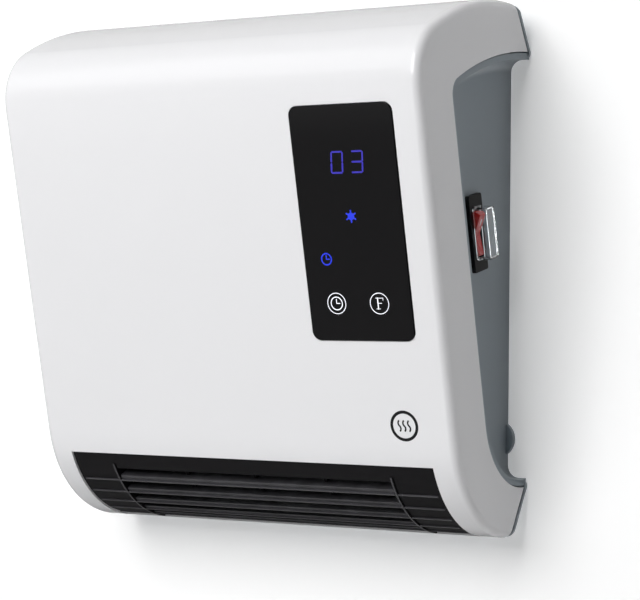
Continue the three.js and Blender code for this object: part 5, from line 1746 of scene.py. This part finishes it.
@dataclass(frozen=True)
class Lamp:
    """A soft square lamp that looks at the heater."""

    name: str
    azimuth: float  # degrees to the right of straight ahead
    height: float  # degrees over the level
    power: float  # in watts
    size: float = 1.3  # of its side, in metres
    distance: float = 2.0  # in metres

    def build(self) -> None:
        """Adds the lamp to the scene."""
        a, e = math.radians(self.azimuth), math.radians(self.height)
        spot = Vector((math.sin(a) * math.cos(e), -math.cos(a) * math.cos(e), math.sin(e))) * self.distance
        data = bpy.data.lights.new(self.name, "AREA")
        data.size = self.size
        data.energy = self.power
        lamp = bpy.data.objects.new(self.name, data)
        bpy.context.collection.objects.link(lamp)
        lamp.location = spot
        lamp.rotation_euler = (-spot).to_track_quat("-Z", "Y").to_euler()


# The back lamp stands straight behind and lights the heater's back through the wall, for views from there.
LAMPS = (
    Lamp("key", -3, 25, 32.0),
    Lamp("left", -32, 35, 5.5),
    Lamp("low", -32, -25, 4.5),
    Lamp("side", -75, 30, 0.6),
    Lamp("back", 180, 0, 12.0, size=0.3),
)


@dataclass
class Studio:
    """The pale wall and floor, the soft lights and the camera of the photographed view."""

    azimuth: float = 32.028
    rise: float = -0.762
    roll: float = 0.543
    spot: Triple = (623.23, -996.67, 100.89)  # its height is over the heater's foot
    sensor: float = 36.0
    lens: float = 2242 / 640 * sensor  # 2242 pixels, in a frame of 640
    floor_drop: float = 1.2  # under the heater's foot, in metres
    floor_size: float = 8.0  # in metres
    wall_size: float = 4.0
    wall_y: float = 0.0015
    sky: float = 0.04
    left_gloss: float = 0.7  # what polished surfaces see to the left
    right_gloss: float = 0.25
    paint: float = 0.86  # how much light the wall and the floor throw back
    wall_glow: float = 0.27
    floor_glow: float = 0.6

    def build(self) -> None:
        """Makes the studio."""
        self._camera()
        self._world()
        self._wall()
        self._floor()
        for lamp in LAMPS:
            lamp.build()
        bpy.context.scene.view_settings.view_transform = "Standard"

    def _camera(self) -> None:
        """Sets the camera at the photograph's view."""
        a, e, r = (math.radians(v) for v in (self.azimuth, self.rise, self.roll))
        ahead = Vector((-math.sin(a) * math.cos(e), math.cos(a) * math.cos(e), -math.sin(e)))
        right = Vector((math.cos(a), math.sin(a), 0))
        up = right.cross(ahead)
        turned_right = right * math.cos(r) + up * math.sin(r)
        turned_up = up * math.cos(r) - right * math.sin(r)
        data = bpy.data.cameras.new("camera")
        data.lens = self.lens
        data.sensor_width = self.sensor
        camera = bpy.data.objects.new("camera", data)
        bpy.context.collection.objects.link(camera)
        camera.matrix_world = frame_at(self.spot, turned_right, turned_up, -ahead)
        bpy.context.scene.camera = camera

    def _world(self) -> None:
        """Makes a faint world, white to the eye and clear plastic, and fading to the right in gloss."""
        world = bpy.data.worlds.new("world")
        world.use_nodes = True
        bpy.context.scene.world = world
        tree = world.node_tree
        tree.nodes.clear()
        path = add_node(tree, "ShaderNodeLightPath").outputs
        seen = add_node(tree, "ShaderNodeMath", attributes={"operation": "MAXIMUM"},
                        links={0: path["Is Camera Ray"], 1: path["Is Transmission Ray"]})
        direction = add_node(tree, "ShaderNodeTexCoord").outputs["Generated"]
        across = add_node(tree, "ShaderNodeSeparateXYZ", links={"Vector": direction}).outputs["X"]
        level = add_node(tree, "ShaderNodeMapRange",
                         {"From Min": -1.0, "From Max": 1.0, "To Min": self.left_gloss,
                          "To Max": self.right_gloss},
                         {"Value": across})
        soft = add_node(tree, "ShaderNodeBackground", {"Color": WHITE, "Strength": self.sky})
        gloss = add_node(tree, "ShaderNodeBackground", {"Color": WHITE}, {"Strength": level.outputs[0]})
        white = add_node(tree, "ShaderNodeBackground", {"Color": WHITE, "Strength": 1.0})
        unseen = add_node(tree, "ShaderNodeMixShader",
                          links={0: path["Is Glossy Ray"], 1: soft.outputs[0], 2: gloss.outputs[0]})
        mix = add_node(tree, "ShaderNodeMixShader",
                       links={0: seen.outputs[0], 1: unseen.outputs[0], 2: white.outputs[0]})
        add_node(tree, "ShaderNodeOutputWorld", links={"Surface": mix.outputs[0]})

    def _painted(self, name: str, glow: float) -> bpy.types.Material:
        """Makes a matt white with a glow for the eye alone, on the front of its faces alone.

        Args:
            name: The material's name.
            glow: How much it glows, where 1 is white.

        Returns:
            The new material.
        """
        made = bpy.data.materials.new(name)
        made.use_nodes = True
        tree = made.node_tree
        tree.nodes.clear()
        back = add_node(tree, "ShaderNodeNewGeometry").outputs["Backfacing"]
        eye = add_node(tree, "ShaderNodeLightPath").outputs["Is Camera Ray"]
        paint = add_node(tree, "ShaderNodeBsdfDiffuse", {"Color": (*[self.paint] * 3, 1)})
        shown = add_node(tree, "ShaderNodeMath", {1: glow}, {0: eye}, {"operation": "MULTIPLY"})
        white = add_node(tree, "ShaderNodeEmission", {"Color": WHITE}, {"Strength": shown.outputs[0]})
        lit = add_node(tree, "ShaderNodeAddShader", links={0: paint.outputs[0], 1: white.outputs[0]})
        clear = add_node(tree, "ShaderNodeBsdfTransparent")
        mix = add_node(tree, "ShaderNodeMixShader", links={0: back, 1: lit.outputs[0], 2: clear.outputs[0]})
        add_node(tree, "ShaderNodeOutputMaterial", links={"Surface": mix.outputs[0]})
        return made

    def _wall(self) -> None:
        """Makes the white wall, which sheds no shadow and shows only from the room's side."""
        deselect_all()
        bpy.ops.mesh.primitive_plane_add(size=self.wall_size, location=(0, self.wall_y, 0),
                                         rotation=(math.pi / 2, 0, 0))
        wall = bpy.context.object
        wall.name = "wall"
        wall.data.materials.append(self._painted("white_wall", self.wall_glow))
        wall.visible_shadow = False
        wall.visible_glossy = False
        wall.visible_transmission = False

    def _floor(self) -> None:
        """Makes the pale floor, well below the heater."""
        deselect_all()
        bpy.ops.mesh.primitive_plane_add(size=self.floor_size, location=(0, 0, FOOT - self.floor_drop))
        floor = bpy.context.object
        floor.name = "floor"
        floor.data.materials.append(self._painted("pale_floor", self.floor_glow))


# ------------------------------------------------------------------------------------------------
# The whole


def dress_nodes() -> None:
    """Gives each node of the frame the finish of its slot."""
    slots = {part["node"]: part["material_slot"] for part in frame["record"]["subparts"]}
    for name, node in frame["nodes"].items():
        finish = SLOT_FINISHES[slots[name]].material()
        for held in node.material_slots:
            held.material = finish


def main() -> None:
    """Builds the studio and the heater's sub-assemblies in order."""
    Studio().build()
    dress_nodes()
    for assembly in (
        FrontShell(),
        TouchWindow(),
        HeatSign(),
        RearCasing(),
        OutletGrille(),
        RockerSwitch(),
        Rocker(),
        WallFixings(),
    ):
        assembly.build()
        assembly.report()
    deselect_all()


if __name__ == "__main__":
    main()
